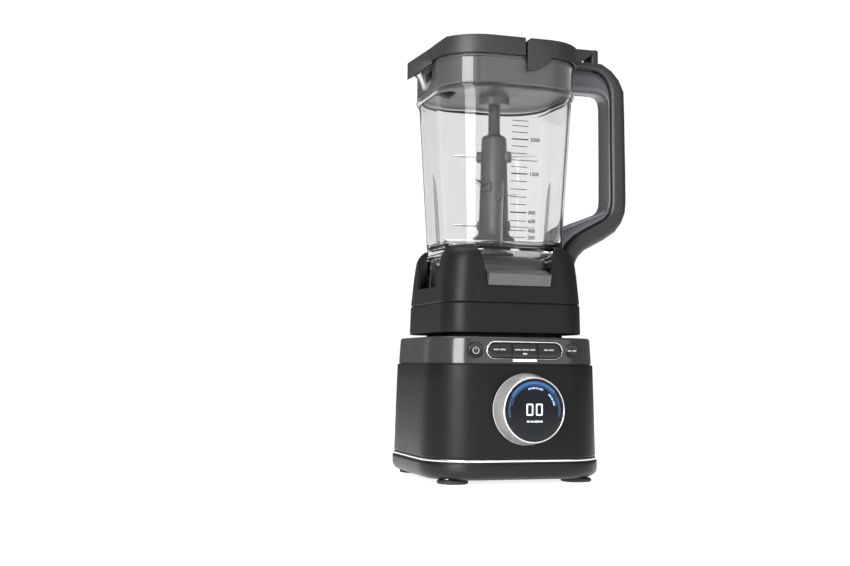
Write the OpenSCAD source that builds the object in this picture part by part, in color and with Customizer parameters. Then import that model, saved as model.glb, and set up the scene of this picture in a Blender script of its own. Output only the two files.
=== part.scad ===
/* [Base] */
// Half width of the motor housing at its foot
base_half = 87.6; // [84:0.5:110]
// Radius of the base's upright corners
base_corner = 47; // [42:0.5:52]
// Height of the motor housing
housing_h = 87.2; // [80:0.5:110]
// How far each side of the housing leans in from foot to top
housing_draft = 2.8; // [0:0.1:5]
// Wall of every moulded casing
wall = 3; // [2.4:0.1:3.4]
// Height of the base tray
tray_h = 16.2; // [14:0.1:24]
// How far the tray stands proud of the housing
tray_flare = 1.6; // [0.5:0.1:4]
// Height of the bright trim ring
trim_h = 2.7; // [1.5:0.1:5]
// Height of the control band
band_h = 25.3; // [24:0.1:34]
// Step from the housing's top in to the band
band_step = 1.5; // [0.5:0.1:3]
// How far the band leans in
band_draft = 1.6; // [0:0.1:3]

/* [Feet] */
// Radius of a suction foot
foot_r = 14.5; // [10:0.5:18]
// Height of a suction foot
foot_h = 4.2; // [3:0.1:8]
// From the housing's side to a foot's centre
foot_inset = 25.6; // [20:0.1:32]

/* [Motor] */
// Radius of the motor shaft
shaft_r = 4; // [3:0.1:5]
// Outer radius of the field core
stator_r = 44; // [42:0.5:48]
// Radius of the rotor core
rotor_r = 25; // [20:0.5:26]
// Height of the iron stack
stack_h = 34; // [28:0.5:38]
// Radius of the cooling fan
fan_r = 34; // [28:0.5:35]
// Radius of the commutator
commutator_r = 13; // [10:0.5:14]

/* [Dial] */
// Radius of the dial ring at the housing
dial_r = 32.9; // [31.5:0.1:38]
// Radius of the dial ring at its front edge
dial_front_r = 29.6; // [29.2:0.1:31]
// How far the dial ring stands out
dial_depth = 21.3; // [16:0.1:26]
// Radius of the display window
display_r = 28.3; // [24:0.1:28.6]
// Radius of the neck that the dial turns on
neck_r = 20; // [14:0.1:21]

/* [Buttons] */
// Travel of a push button
button_travel = 1; // [0.6:0.1:1.2]
// Gap round a push button
button_gap = 0.3; // [0.25:0.05:0.5]
// Radius of the power button
power_r = 7.2; // [5:0.1:7.5]
// Radius of the pulse button
pulse_r = 6.7; // [5:0.1:7.5]
// Half length of the three-button panel
panel_half = 38; // [30:0.5:39]
// Height of the three-button panel
panel_h = 16.8; // [12:0.1:18]
// Width of the bright rim round the panel
panel_rim = 1.3; // [0.8:0.1:2]

/* [Collar] */
// Gap between the deck and the collar
seat_gap = 3.6; // [2:0.1:6]
// Half width of the collar at its foot
collar_half = 71.7; // [69:0.1:86]
// Radius of the collar's corners
collar_corner = 27; // [24:0.5:30]
// Height of the collar's lower band
collar_band_h = 28.4; // [26:0.1:36]
// Height of the collar's crown
crown_h = 51.4; // [46:0.1:60]

/* [Jug] */
// Half width of the jug at its floor
jug_low_half = 59.7; // [58:0.1:60.5]
// Half width of the jug at its shoulder
jug_high_half = 69.3; // [66:0.1:69.3]
// Height from floor to shoulder
jug_h = 150; // [130:1:190]
// Radius of the jug's corners at its floor
jug_corner = 35; // [32:0.5:38]
// Wall of the jug
jug_wall = 2.6; // [2:0.1:3]
// Height of the rim above the shoulder
rim_h = 32.4; // [28:0.1:40]
// Half width of the rim, side to side
rim_half = 73.2; // [71:0.1:74]
// Reach of the pouring lip from the axis
spout_reach = 85.5; // [83:0.5:90]

/* [Blades] */
// Radius of the spindle
spindle_r = 5; // [4:0.1:6]
// Across-corners radius of the drive hexagon
drive_r = 7.8; // [6:0.1:8.5]
// Radius of the blade column at its foot
column_r = 14.7; // [12:0.1:17]
// Radius of the blade column at its top
column_top_r = 12.4; // [10:0.1:14]
// Radius that the blades sweep
blade_reach = 52; // [44:0.5:53]
// Thickness of a blade
blade_t = 1.6; // [1:0.1:2.4]
// Radius of the shaft that runs in the lid
pilot_r = 5.7; // [4:0.1:6.5]

/* [Lid] */
// Half width of the lid, side to side
lid_half = 74.9; // [73.6:0.1:78]
// Height of the lid's rim
lid_h = 17.1; // [15:0.1:22]
// Half width of the pouring opening
pour_half = 17; // [12:0.5:22]
// Reach of the lever's tongue from the axis
tongue_reach = 101.4; // [96:0.1:106]

/* [Handle] */
// Width of the handle
handle_w = 26; // [20:0.5:32]
// Reach of the grip's outer side from the axis
handle_reach = 142.5; // [136:0.5:152]
// Depth of the grip
grip_depth = 22.5; // [19:0.5:24]

/* [Hidden] */
$fn = 64;
// Radial clearance of every running fit
run_fit = 0.05;
// Gap between neighbours that move apart
free_gap = 0.3;
// Gap round a piece that is assembled and stays put
snug = 0.1;
// Overshoot of every cut
eps = 1;

// Heights, from the floor up
z_tray = foot_h;
z_trim = z_tray + tray_h;
z_house = z_trim + trim_h;
z_band = z_house + housing_h;
z_deck = z_band + band_h;
z_collar = z_deck + seat_gap;
z_crown = z_collar + collar_band_h;
z_crown_top = z_crown + crown_h;
z_floor = z_crown_top + wall;
z_shoulder = z_floor + jug_h;
z_rim = z_shoulder + rim_h;
z_lid = z_rim + free_gap;
z_lid_top = z_lid + lid_h;

// Base
tray_half = base_half + tray_flare;
corner_c = base_half - base_corner;
tray_chamfer = 6.5;
tray_chamfer_h = 5;
trim_half = base_half + 0.4;
trim_inner = base_half - 2.4;
house_top = base_half - housing_draft;
band_half = house_top - band_step;
foot_at = base_half - foot_inset;
diagonal = sqrt(0.5);
post_r = 5;
post_at = corner_c + (base_corner - wall - post_r + free_gap) * diagonal;
deck_post_r = 7.2;
deck_post_at = corner_c + (house_top - corner_c - wall - deck_post_r + 1) * diagonal;
screw_r = 1.9;
screw_head_r = 3.6;
screw_head_h = 2.6;
function band_at(z) = band_half - band_draft * (z - z_band) / band_h;

// Cord inlet and jug interlock
gland_r = 9;
gland_z = z_house + 12;
gland_l = 10;
cord_r = 3.8;
interlock_y = 46;
interlock_r = 3;

// Motor, from its lower bearing up
bearing_h = 8;
bearing_r = 11;
cup_r = 14;
bracket_r = stator_r + 8;
bracket_t = 4;
z_plate = z_house;
z_stack = z_plate + 24;
z_stack_top = z_stack + stack_h;
z_upper = z_stack_top + 22;
leg_r = 4;
leg_at = stator_r - leg_r - 0.5;
damper_r = 7;
damper_h = 6;
damper_at = (bracket_r - 5) * diagonal;
motor_screw_r = 2;
commutator_h = 12;
z_commutator = z_plate + 7;
brush_w = 6;
brush_h = 8;
z_brush = z_commutator + commutator_h / 2;
socket_r = 13;
z_socket = z_deck - 7;
z_socket_top = z_deck + 14;
socket_floor = z_deck + 1.4;

// Dial and display
dial_z = z_house + 46;
dial_back = -(base_half + 0.2);
dial_front = dial_back - dial_depth;
can_back = dial_back - 6.3;
can_front = dial_front + 3.8;
sleeve_r = neck_r + 3;
sleeve_end = dial_back + 9.5;
encoder_t = 2;
encoder_r = sleeve_r + 4.5;
display_board_y = -(stator_r + 20);
board_t = 1.6;

// Buttons, on the band's front
button_z = z_band + 12.8;
button_front = -(band_at(button_z) + 0.6);
button_back = button_front + 5.8;
switch_front = button_back + button_travel + 0.2;
board_y = switch_front + 2.6;
panel_x = 1;
power_x = panel_x - panel_half - power_r - 3;
pulse_x = panel_x + panel_half + pulse_r + 2.8;
panel_split = 12.9;
panel_slit = 0.6;
light_w = 23.6;
light_h = 1.5;

// Collar and hub
collar_wall = 7;
collar_draft = 1;
crown_half = collar_half - collar_draft;
crown_mid = crown_half - 4.3;
dome_h = 6;
dome_draft = 5;
z_web = z_crown + 14.4;
z_window = z_web + 2;
window_low = 31.5;
window_high = 40;
skirt_fit = 0.4;
hub_r = 42;
hub_top_r = 32;
hub_stub_r = 29;
hub_neck_r = 12;
seal_r = 9.5;
z_hub = z_floor - wall;
ledge_h = 11;
ledge_proud = 3;
seat_half = 56;
seat_corner = 24;

// Jug
jug_flare = jug_high_half - jug_low_half;
z_skirt = z_window + 1;
rim_side = jug_high_half;
rim_corner = 42;
function jug_at(z) = jug_low_half + jug_flare * (z - z_hub) / (z_shoulder - z_hub);
rib_t = 2;
rib_depth = 3;

// Blades
z_column = z_floor + 4;
column_base_h = 15;
column_h = jug_h - 50;
z_column_top = z_column + column_base_h + column_h;
function column_at(z) = column_r
    - (column_r - column_top_r) * (z - z_column - column_base_h) / column_h;
blade_ear = 5;

// Lid, hood, lever and spout cap
lid_side = jug_high_half + 2.4;
lid_corner = 47;
plug_half = rim_half - jug_wall - 1;
plug_side = rim_side - jug_wall - 1;
plug_corner = 42;
z_plug = z_shoulder + 6;
boss_r = 15.4;
boss_h = 8;
flange_t = 3;
hinge_x = 14;
hinge_z = z_lid + 9.3;
pin_r = 2;
lug_foot = 1.5;
cover_edge = 5.2;
lever_edge = 7.5;
ear_t = 2;
ear_in = lid_side - ear_t;
ear_drop = 14.5;
pocket_x = 54;
pocket_half = 48;
swing_gap = 1.3;
tongue_half = 13;
tongue_top = z_lid_top + 11;
release_x = 80;
release_w = 12;
release_half = 8;
release_travel = 2;
cap_far = 66;
cap_hinge_x = -38.5;
cap_t = 3;
cap_hinge_z = z_lid_top - cap_t / 2;
cap_pin_r = 1;
hood_reach = spout_reach + 5.5;
hood_side = 31;
hood_nose_r = 10;
hood_t = 2;
hood_drop = 15.5;
hood_tip_z = z_rim + 1.6;
slope_x = cap_far + 1.5;

// Handle
arm_root = rim_half + 8;
grip_in = handle_reach - grip_depth;
arm_top = z_rim + 16;
arm_low = z_rim - 17;
elbow_z = z_floor + 45;
insert_w = 18;
insert_t = 7;
root_x = jug_low_half + skirt_fit + snug;
root_z = z_window + snug;
root_head_h = 7;
catch_x = tongue_reach + free_gap;
catch_top = z_lid_top + 13;

// Rounded block standing on z = 0, whose sides lean in by draft from foot to top
module block(hx, hy, corner, h, draft = 0) {
    cx = hx - corner;
    cy = hy - corner;
    rotate([90, 0, 0]) linear_extrude(2 * cy, center = true)
        polygon([[-hx, 0], [hx, 0], [hx - draft, h], [draft - hx, h]]);
    rotate([90, 0, 90]) linear_extrude(2 * cx, center = true)
        polygon([[-hy, 0], [hy, 0], [hy - draft, h], [draft - hy, h]]);
    for (x = [-cx, cx], y = [-cy, cy])
        translate([x, y, 0]) cylinder(h = h, r1 = corner, r2 = corner - draft);
}

// Upright box between two corners
module span(low, high) {
    translate(low) cube(high - low);
}

// Cylinder along Y from y0 to y1
module rod_y(r, y0, y1, r_end = undef) {
    translate([0, y0, 0]) rotate([-90, 0, 0])
        cylinder(h = y1 - y0, r1 = r, r2 = is_undef(r_end) ? r : r_end);
}

// Ring standing on z = 0
module ring(outer, inner, h) {
    difference() {
        cylinder(h = h, r = outer);
        translate([0, 0, -eps]) cylinder(h = h + 2 * eps, r = inner);
    }
}

// The same child at the four corners of a square
module at_corners(d) {
    for (x = [-d, d], y = [-d, d]) translate([x, y, 0]) children();
}

// The same child at four points round the axis
module around(d) {
    for (a = [0:90:270]) rotate([0, 0, a]) translate([d, 0, 0]) children();
}

// Pill outline that runs along X, extruded from y0 to y1
module pill(half, h, y0, y1) {
    for (x = [h / 2 - half, half - h / 2]) translate([x, 0, 0]) rod_y(h / 2, y0, y1);
    span([h / 2 - half, y0, -h / 2], [half - h / 2, y1, h / 2]);
}

// ---- Base ----

module suction_feet() {
    color("#1c1c1e") at_corners(foot_at) {
        difference() {
            cylinder(h = foot_h, r = foot_r);
            translate([0, 0, -eps]) cylinder(h = eps + 1.2, r = foot_r / 2);
        }
        cylinder(h = z_tray + wall, r = 5 - snug);
    }
}

module base_tray() {
    cavity = tray_half - tray_chamfer;
    cavity_corner = base_corner + tray_flare - tray_chamfer;
    color("#202022") difference() {
        union() {
            difference() {
                translate([0, 0, z_tray]) {
                    block(cavity, cavity, cavity_corner, tray_chamfer_h, -tray_chamfer);
                    translate([0, 0, tray_chamfer_h])
                        block(tray_half, tray_half, base_corner + tray_flare, tray_h - tray_chamfer_h);
                }
                translate([0, 0, z_tray + wall]) block(cavity, cavity, cavity_corner, tray_h);
            }
            at_corners(post_at) translate([0, 0, z_tray]) cylinder(h = z_house - z_tray, r = post_r);
        }
        at_corners(foot_at) cylinder(h = z_house, r = 5);
        at_corners(post_at) {
            cylinder(h = z_house + eps, r = screw_r + 0.2);
            translate([0, 0, z_tray - eps]) cylinder(h = screw_head_h + 0.4 + eps, r = screw_head_r + 0.2);
        }
        for (x = [-30:10:30]) span([x - 2, -34, 0], [x + 2, 34, z_tray + wall + eps]);
    }
}

module base_screws() {
    color("silver") at_corners(post_at) {
        translate([0, 0, z_tray + 0.4]) cylinder(h = screw_head_h, r = screw_head_r);
        translate([0, 0, z_tray + 0.4]) cylinder(h = z_house - z_tray + 12, r = screw_r);
    }
}

module trim_ring() {
    color("#d4d6d8") translate([0, 0, z_trim]) difference() {
        block(trim_half, trim_half, trim_half - corner_c, trim_h);
        translate([0, 0, -eps])
            block(trim_inner, trim_inner, trim_inner - corner_c, trim_h + 2 * eps);
    }
}

module motor_housing() {
    inner = base_half - wall;
    deck_post_h = 16;
    color("#1b1b1d") difference() {
        union() {
            difference() {
                translate([0, 0, z_house])
                    block(base_half, base_half, base_corner, housing_h, housing_draft);
                translate([0, 0, z_house])
                    block(inner, inner, base_corner - wall, housing_h, housing_draft);
                translate([0, 0, z_house - eps]) block(inner, inner, base_corner - wall, 2 * eps);
                translate([0, 0, z_band - eps])
                    block(inner - housing_draft, inner - housing_draft,
                        base_corner - wall - housing_draft, 2 * eps);
            }
            at_corners(post_at) translate([0, 0, z_house]) cylinder(h = 16, r = post_r);
            at_corners(deck_post_at)
                translate([0, 0, z_band - deck_post_h]) cylinder(h = deck_post_h, r = deck_post_r);
        }
        at_corners(post_at) translate([0, 0, z_house - eps]) cylinder(h = 14 + eps, r = screw_r);
        at_corners(deck_post_at) translate([0, 0, z_band - deck_post_h - eps])
            cylinder(h = deck_post_h + 2 * eps, r = screw_r + 0.2);
        translate([0, 0, dial_z]) rod_y(sleeve_r + free_gap, -base_half - eps, -base_half + 8);
        translate([0, 0, gland_z]) rod_y(gland_r, base_half - 8, base_half + eps);
    }
}

// Wall that carries the buttons, and the deck that the jug stands on
module control_band() {
    band_corner = band_half - corner_c;
    inner = band_half - wall;
    color("#4b4b4e") difference() {
        union() {
            difference() {
                translate([0, 0, z_band]) block(band_half, band_half, band_corner, band_h, band_draft);
                translate([0, 0, z_band - eps])
                    block(inner, inner, band_corner - wall, band_h - wall + eps, band_draft);
            }
            at_corners(deck_post_at) translate([0, 0, z_band]) cylinder(h = band_h - wall, r = post_r);
            at_corners(damper_at) translate([0, 0, z_upper + bracket_t + damper_h])
                cylinder(h = z_deck - wall - z_upper - bracket_t - damper_h, r = 6);
            for (x = [power_x - power_r - 2.9, pulse_x + pulse_r + 2.9])
                translate([x, 0, button_z]) rod_y(1.6, button_front + 5.5, board_y);
        }
        at_corners(deck_post_at) translate([0, 0, z_band - eps]) cylinder(h = 14, r = screw_r);
        at_corners(damper_at) translate([0, 0, z_band - eps])
            cylinder(h = z_deck - wall - z_band, r = motor_screw_r);
        translate([0, 0, z_deck - wall - eps]) cylinder(h = wall + 2 * eps, r = socket_r + 1.5);
        translate([0, interlock_y, z_deck - wall - eps])
            cylinder(h = wall + 2 * eps, r = interlock_r + free_gap);
        translate([power_x, 0, button_z]) rod_y(power_r + button_gap, -band_half - eps, switch_front);
        translate([pulse_x, 0, button_z]) rod_y(pulse_r + button_gap, -band_half - eps, switch_front);
        translate([panel_x, 0, button_z]) pill(panel_half + run_fit, panel_h + 2 * run_fit,
            -band_half - eps, button_back);
        light_bar(run_fit, 4);
    }
}

module deck_screws() {
    color("silver") at_corners(deck_post_at) {
        translate([0, 0, z_band - 16 - screw_head_h]) cylinder(h = screw_head_h, r = screw_head_r);
        translate([0, 0, z_band - 16]) cylinder(h = 26, r = screw_r);
    }
}

// Raised rubber-faced pad that locates the jug on the deck
module jug_seat() {
    seat_h = seat_gap - 0.2;
    color("#2a2a2c") translate([0, 0, z_deck]) difference() {
        block(seat_half, seat_half, seat_corner, seat_h);
        translate([0, 0, -eps]) cylinder(h = seat_h + 2 * eps, r = socket_r + 4);
        translate([0, interlock_y, -eps])
            cylinder(h = seat_h + 2 * eps, r = interlock_r + free_gap);
    }
}

// ---- Cord inlet at the back ----

module cord_gland() {
    color("#161617") translate([0, 0, gland_z]) difference() {
        union() {
            rod_y(gland_r - run_fit, base_half + 2 - gland_l, base_half + 2);
            rod_y(gland_r + 2.5, base_half + 2 - gland_l, base_half - wall - 1);
        }
        rod_y(cord_r, base_half + 2 - gland_l - eps, base_half + 2 + eps);
    }
}

// ---- Buttons and display ----

module button_bezel() {
    color("#d4d6d8") translate([panel_x, 0, button_z]) difference() {
        pill(panel_half, panel_h, button_front - 0.2, button_back);
        pill(panel_half - panel_rim, panel_h - 2 * panel_rim, button_front - eps, button_back + eps);
    }
}

// The light slot, grown by a gap on every side
module light_bar(grow, deep) {
    z1 = button_z - panel_h / 2 - 0.25 + grow;
    span([panel_x - light_w / 2 - grow, -band_half - (grow > 0 ? eps : 0), z1 - light_h - 2 * grow],
        [panel_x + light_w / 2 + grow, -band_half + deep, z1]);
}

module indicator_light() {
    color("white") light_bar(0, 3.6);
}

module control_board() {
    color("#1d5c34") {
        span([power_x - power_r - 4.8, board_y, button_z - 9],
            [pulse_x + pulse_r + 4.8, board_y + board_t, button_z + 9]);
        for (x = [power_x, panel_x - 24, panel_x, panel_x + 24, pulse_x])
            span([x - 3, switch_front, button_z - 3], [x + 3, board_y, button_z + 3]);
    }
}

module round_button(x, r) {
    translate([x, 0, button_z]) rod_y(r, button_front, button_back);
}

// Part of the three-button panel between two places along X
module mode_button(x0, x1) {
    inset = panel_rim + button_gap;
    intersection() {
        translate([panel_x, 0, button_z])
            pill(panel_half - inset, panel_h - 2 * inset, button_front, button_back);
        span([x0, button_front - eps, button_z - panel_h], [x1, button_back + eps, button_z + panel_h]);
    }
}

module power_button() {
    color("#2f2f31") round_button(power_x, power_r);
}

module pulse_button() {
    color("#2f2f31") round_button(pulse_x, pulse_r);
}

module left_mode_button() {
    color("#202022")
        mode_button(panel_x - panel_half, panel_x - panel_split - panel_slit / 2);
}

module centre_mode_button() {
    color("#202022")
        mode_button(panel_x - panel_split + panel_slit / 2, panel_x + panel_split - panel_slit / 2);
}

module right_mode_button() {
    color("#202022")
        mode_button(panel_x + panel_split + panel_slit / 2, panel_x + panel_half);
}

module display_can() {
    color("#161617") translate([0, 0, dial_z]) {
        rod_y(display_r - run_fit, can_front, can_back);
        rod_y(neck_r, can_back, display_board_y);
    }
}

module display_window() {
    color("#0d1420") translate([0, 0, dial_z]) rod_y(display_r - run_fit, dial_front + 0.3, can_front);
}

module display_board() {
    color("#1d5c34") span([-28, display_board_y, dial_z - 28],
        [28, display_board_y + board_t, dial_z + 28]);
}

module dial_ring() {
    color("#c8cacc") translate([0, 0, dial_z]) difference() {
        rod_y(dial_front_r, dial_front, dial_back, dial_r);
        rod_y(display_r, dial_front - eps, dial_back + eps);
    }
}

module dial_carrier() {
    color("#2a2a2c") translate([0, 0, dial_z]) difference() {
        union() {
            rod_y(display_r, can_back + free_gap, dial_back);
            rod_y(sleeve_r, dial_back, sleeve_end);
        }
        rod_y(neck_r + run_fit, can_back, sleeve_end + eps);
    }
}

module encoder_wheel() {
    color("#d8d2c0") translate([0, sleeve_end - encoder_t, dial_z]) difference() {
        rod_y(encoder_r, 0, encoder_t);
        rod_y(sleeve_r, -eps, encoder_t + eps);
        for (a = [0:15:345]) rotate([0, a, 0])
            span([encoder_r - 2, -eps, -0.8], [encoder_r + eps, encoder_t + eps, 0.8]);
    }
}

module interlock_plunger() {
    color("#c0392b") translate([0, interlock_y, 0]) {
        translate([0, 0, z_deck - 12]) cylinder(h = 12 + seat_gap - 0.2, r = interlock_r);
        translate([0, 0, z_deck - 12]) cylinder(h = 5, r = interlock_r + 2);
    }
}

// ---- Motor ----

module bearing(outer, inner, h) {
    color("#b9bcc0") ring(outer, inner, h);
}

module lower_bracket() {
    color("#a8aaad") difference() {
        union() {
            translate([0, 0, z_plate]) cylinder(h = bracket_t, r = stator_r);
            translate([0, 0, z_plate - bearing_h - 2]) cylinder(h = bearing_h + 2, r = cup_r);
            around(leg_at) translate([0, 0, z_plate]) cylinder(h = z_stack - z_plate, r = leg_r);
        }
        translate([0, 0, z_plate - bearing_h]) cylinder(h = bearing_h + bracket_t + eps, r = bearing_r);
        translate([0, 0, z_plate - bearing_h - 2 - eps]) cylinder(h = 4 + eps, r = shaft_r + 2);
    }
}

module upper_bracket() {
    color("#a8aaad") difference() {
        union() {
            translate([0, 0, z_upper]) cylinder(h = bracket_t, r = bracket_r);
            translate([0, 0, z_upper + bracket_t]) cylinder(h = bearing_h, r = cup_r);
            around(leg_at) translate([0, 0, z_stack_top]) cylinder(h = z_upper - z_stack_top, r = leg_r);
        }
        translate([0, 0, z_upper - eps]) cylinder(h = eps + bearing_h + 1.5, r = bearing_r);
        translate([0, 0, z_upper]) cylinder(h = bracket_t + bearing_h + eps, r = shaft_r + 2);
        at_corners(damper_at) translate([0, 0, z_upper - eps])
            cylinder(h = bracket_t + 2 * eps, r = motor_screw_r + 0.3);
        for (a = [22.5:45:337.5]) rotate([0, 0, a]) translate([24, 0, z_upper - eps])
            cylinder(h = bracket_t + 2 * eps, r = 6);
    }
}

module lower_bearing() {
    translate([0, 0, z_plate - bearing_h]) bearing(bearing_r, shaft_r + run_fit, bearing_h);
}

module upper_bearing() {
    translate([0, 0, z_upper + 1.5]) bearing(bearing_r, shaft_r + run_fit, bearing_h - 1);
}

module field_core() {
    air_gap = 0.6;
    color("#7c7f83") translate([0, 0, z_stack]) ring(stator_r, rotor_r + air_gap, stack_h);
}

module field_windings() {
    color("#b5651d") for (z = [z_stack - 4, z_stack_top])
        translate([0, 0, z]) ring(leg_at - leg_r - 1, rotor_r + 2, 4);
}

module brush_holders() {
    color("#7a4a1e") for (side = [0, 180]) rotate([0, 0, side]) difference() {
        span([commutator_r + 2, -brush_w, z_plate + bracket_t],
            [leg_at - leg_r - 1, brush_w, z_brush + brush_h / 2 + 2]);
        span([commutator_r, -brush_w / 2, z_brush - brush_h / 2],
            [leg_at - leg_r - 4, brush_w / 2, z_brush + brush_h / 2]);
    }
}

module carbon_brushes() {
    brush_l = 13;
    color("#1a1a1a") for (side = [0, 180]) rotate([0, 0, side])
        span([commutator_r + run_fit, -brush_w / 2, z_brush - brush_h / 2],
            [commutator_r + run_fit + brush_l, brush_w / 2, z_brush + brush_h / 2]);
}

module motor_dampers() {
    color("#111111") at_corners(damper_at) translate([0, 0, z_upper + bracket_t])
        ring(damper_r, motor_screw_r + 0.3, damper_h);
}

module motor_screws() {
    color("silver") at_corners(damper_at) {
        translate([0, 0, z_upper - 3]) cylinder(h = 3, r = 4);
        translate([0, 0, z_upper - 3]) cylinder(h = 3 + bracket_t + damper_h + 10, r = motor_screw_r);
    }
}

module motor_shaft() {
    color("#c9ccd0") translate([0, 0, z_plate - bearing_h])
        cylinder(h = socket_floor - 4 - z_plate + bearing_h, r = shaft_r);
}

module rotor_core() {
    color("#7c7f83") difference() {
        translate([0, 0, z_stack]) cylinder(h = stack_h, r = rotor_r);
        translate([0, 0, z_stack - eps]) cylinder(h = stack_h + 2 * eps, r = shaft_r);
        for (a = [0:30:330]) rotate([0, 0, a])
            span([rotor_r - 6, -1.5, z_stack - eps], [rotor_r + eps, 1.5, z_stack_top + eps]);
    }
}

module commutator() {
    color("#b87333") difference() {
        translate([0, 0, z_commutator]) cylinder(h = commutator_h, r = commutator_r);
        translate([0, 0, z_commutator - eps]) cylinder(h = commutator_h + 2 * eps, r = shaft_r);
    }
}

module cooling_fan() {
    color("#d8d8d8") translate([0, 0, z_stack_top + 6]) {
        difference() {
            union() {
                cylinder(h = 2, r = fan_r);
                cylinder(h = 11, r = shaft_r + 4);
                for (a = [0:40:320]) rotate([0, 0, a])
                    span([shaft_r + 3, -0.8, 1], [fan_r - 1, 0.8, 11]);
            }
            translate([0, 0, -eps]) cylinder(h = 11 + 2 * eps, r = shaft_r);
        }
    }
}

module drive_socket() {
    color("#2a2a2c") difference() {
        translate([0, 0, z_socket]) cylinder(h = z_socket_top - z_socket, r = socket_r);
        translate([0, 0, z_socket - eps]) cylinder(h = socket_floor - 4 - z_socket + eps, r = shaft_r);
        translate([0, 0, socket_floor])
            cylinder(h = z_socket_top - socket_floor + eps, r = drive_r + 0.2, $fn = 6);
    }
}

// ---- Jug body ----

module jug() {
    inner_low = jug_low_half - jug_wall;
    wall_h = z_shoulder - z_hub;
    cavity_half = jug_at(z_floor) - jug_wall;
    rim_in = rim_half - jug_wall;
    rim_side_in = rim_side - jug_wall;
    color([0.82, 0.82, 0.84, 0.45]) {
        difference() {
            union() {
                translate([0, 0, z_skirt])
                    block(jug_low_half, jug_low_half, jug_corner, z_hub - z_skirt);
                translate([0, 0, z_hub])
                    block(jug_low_half, jug_low_half, jug_corner, wall_h, -jug_flare);
                translate([0, 0, z_shoulder]) block(rim_half, rim_side, rim_corner, rim_h);
                spout(0);
            }
            translate([0, 0, z_skirt - eps])
                block(inner_low, inner_low, jug_corner - jug_wall, z_hub - z_skirt + eps);
            translate([0, 0, z_floor]) block(cavity_half, cavity_half,
                cavity_half - jug_low_half + jug_corner, z_shoulder - z_floor,
                jug_wall + cavity_half - jug_high_half);
            translate([0, 0, z_shoulder - eps]) block(jug_high_half - jug_wall,
                jug_high_half - jug_wall, rim_corner - 1, 2 * eps);
            translate([0, 0, z_shoulder + eps / 2])
                block(rim_in, rim_side_in, rim_corner - jug_wall, rim_h + eps);
            translate([0, 0, z_hub - eps]) cylinder(h = wall + 2 * eps, r = hub_neck_r + run_fit);
            spout(jug_wall);
        }
        for (a = [0:90:270]) rotate([0, 0, a]) rib();
    }
}

// Stiffening rib on the inside of one wall
module rib() {
    rib_h = 60;
    foot = jug_at(z_floor) - jug_wall;
    translate([0, rib_t / 2, z_floor - 0.5]) rotate([90, 0, 0]) linear_extrude(rib_t)
        polygon([[foot - rib_depth, 0], [foot + 0.8, 0],
            [jug_at(z_floor + rib_h) - jug_wall + 0.8, rib_h], [foot - rib_depth + 1, rib_h - 12]]);
}

// Pouring lip, shrunk by a wall for its hollow
module spout(inset) {
    root = rim_half - jug_wall - 0.5 - inset;
    reach = spout_reach - inset * 1.4;
    side = 24 - inset;
    z_low = z_rim - 26 + inset * 1.3;
    intersection() {
        translate([0, 0, z_low - eps]) linear_extrude(z_rim + 4 * eps)
            polygon([[-root, -side], [-reach + 3, -8 + inset], [-reach, 0], [-reach + 3, 8 - inset],
                [-root, side]]);
        rotate([90, 0, 0]) linear_extrude(2 * side, center = true)
            polygon([[-root, z_low], [-reach, z_rim - 8], [-reach, z_rim - 3 + (inset > 0 ? eps : 0)],
                [-root, z_rim - 3 + (inset > 0 ? eps : 0)]]);
    }
}

module collar_band() {
    inner = collar_half - collar_wall;
    color("#2b2b2d") translate([0, 0, z_collar]) difference() {
        block(collar_half, collar_half, collar_corner, collar_band_h, collar_draft);
        translate([0, 0, wall])
            block(inner, inner, collar_corner - collar_wall, collar_band_h - wall + eps);
        translate([0, 0, -eps]) cylinder(h = wall + 2 * eps, r = socket_r + 4);
    }
}

module collar_crown() {
    low_h = z_crown_top - dome_h - z_crown;
    skirt_half = jug_low_half + skirt_fit;
    color("#3a3a3c") difference() {
        union() {
            translate([0, 0, z_crown])
                block(crown_half, crown_half, collar_corner - collar_draft, low_h, crown_half - crown_mid);
            translate([0, 0, z_crown_top - dome_h]) block(crown_mid, crown_mid,
                collar_corner - collar_draft - crown_half + crown_mid, dome_h, dome_draft);
        }
        translate([0, 0, z_crown - eps]) block(crown_half - collar_wall, crown_half - collar_wall,
            collar_corner - collar_draft - collar_wall, z_web - wall - z_crown + eps);
        translate([0, 0, z_web])
            block(skirt_half, skirt_half, jug_corner + skirt_fit, z_crown_top - z_web + eps);
        translate([0, 0, z_crown]) cylinder(h = z_web - z_crown + eps, r = hub_stub_r + snug);
        for (a = [0, 90]) rotate([0, 0, a]) window();
        handle_screw_holes(screw_r + 0.2);
    }
}

// Tapered openings through two opposite faces of the crown
module window() {
    window_h = z_crown_top - z_window + eps;
    translate([0, 0, z_window]) rotate([90, 0, 0]) linear_extrude(2 * crown_half + 2 * eps, center = true)
        polygon([[-window_low, 0], [window_low, 0], [window_high, window_h], [-window_high, window_h]]);
}

// Sloping ledge at the foot of the front opening
module crown_ledge() {
    back = jug_low_half + skirt_fit + 0.2;
    front = crown_half + 0.4;
    half = window_low - 0.3;
    color("#6a6a6d") translate([0, 0, z_window]) rotate([90, 0, 90])
        linear_extrude(2 * half, center = true)
            polygon([[-front - ledge_proud + 2, 0], [-back, 0], [-back, ledge_h - 2],
                [-front - ledge_proud, ledge_h]]);
}

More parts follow.
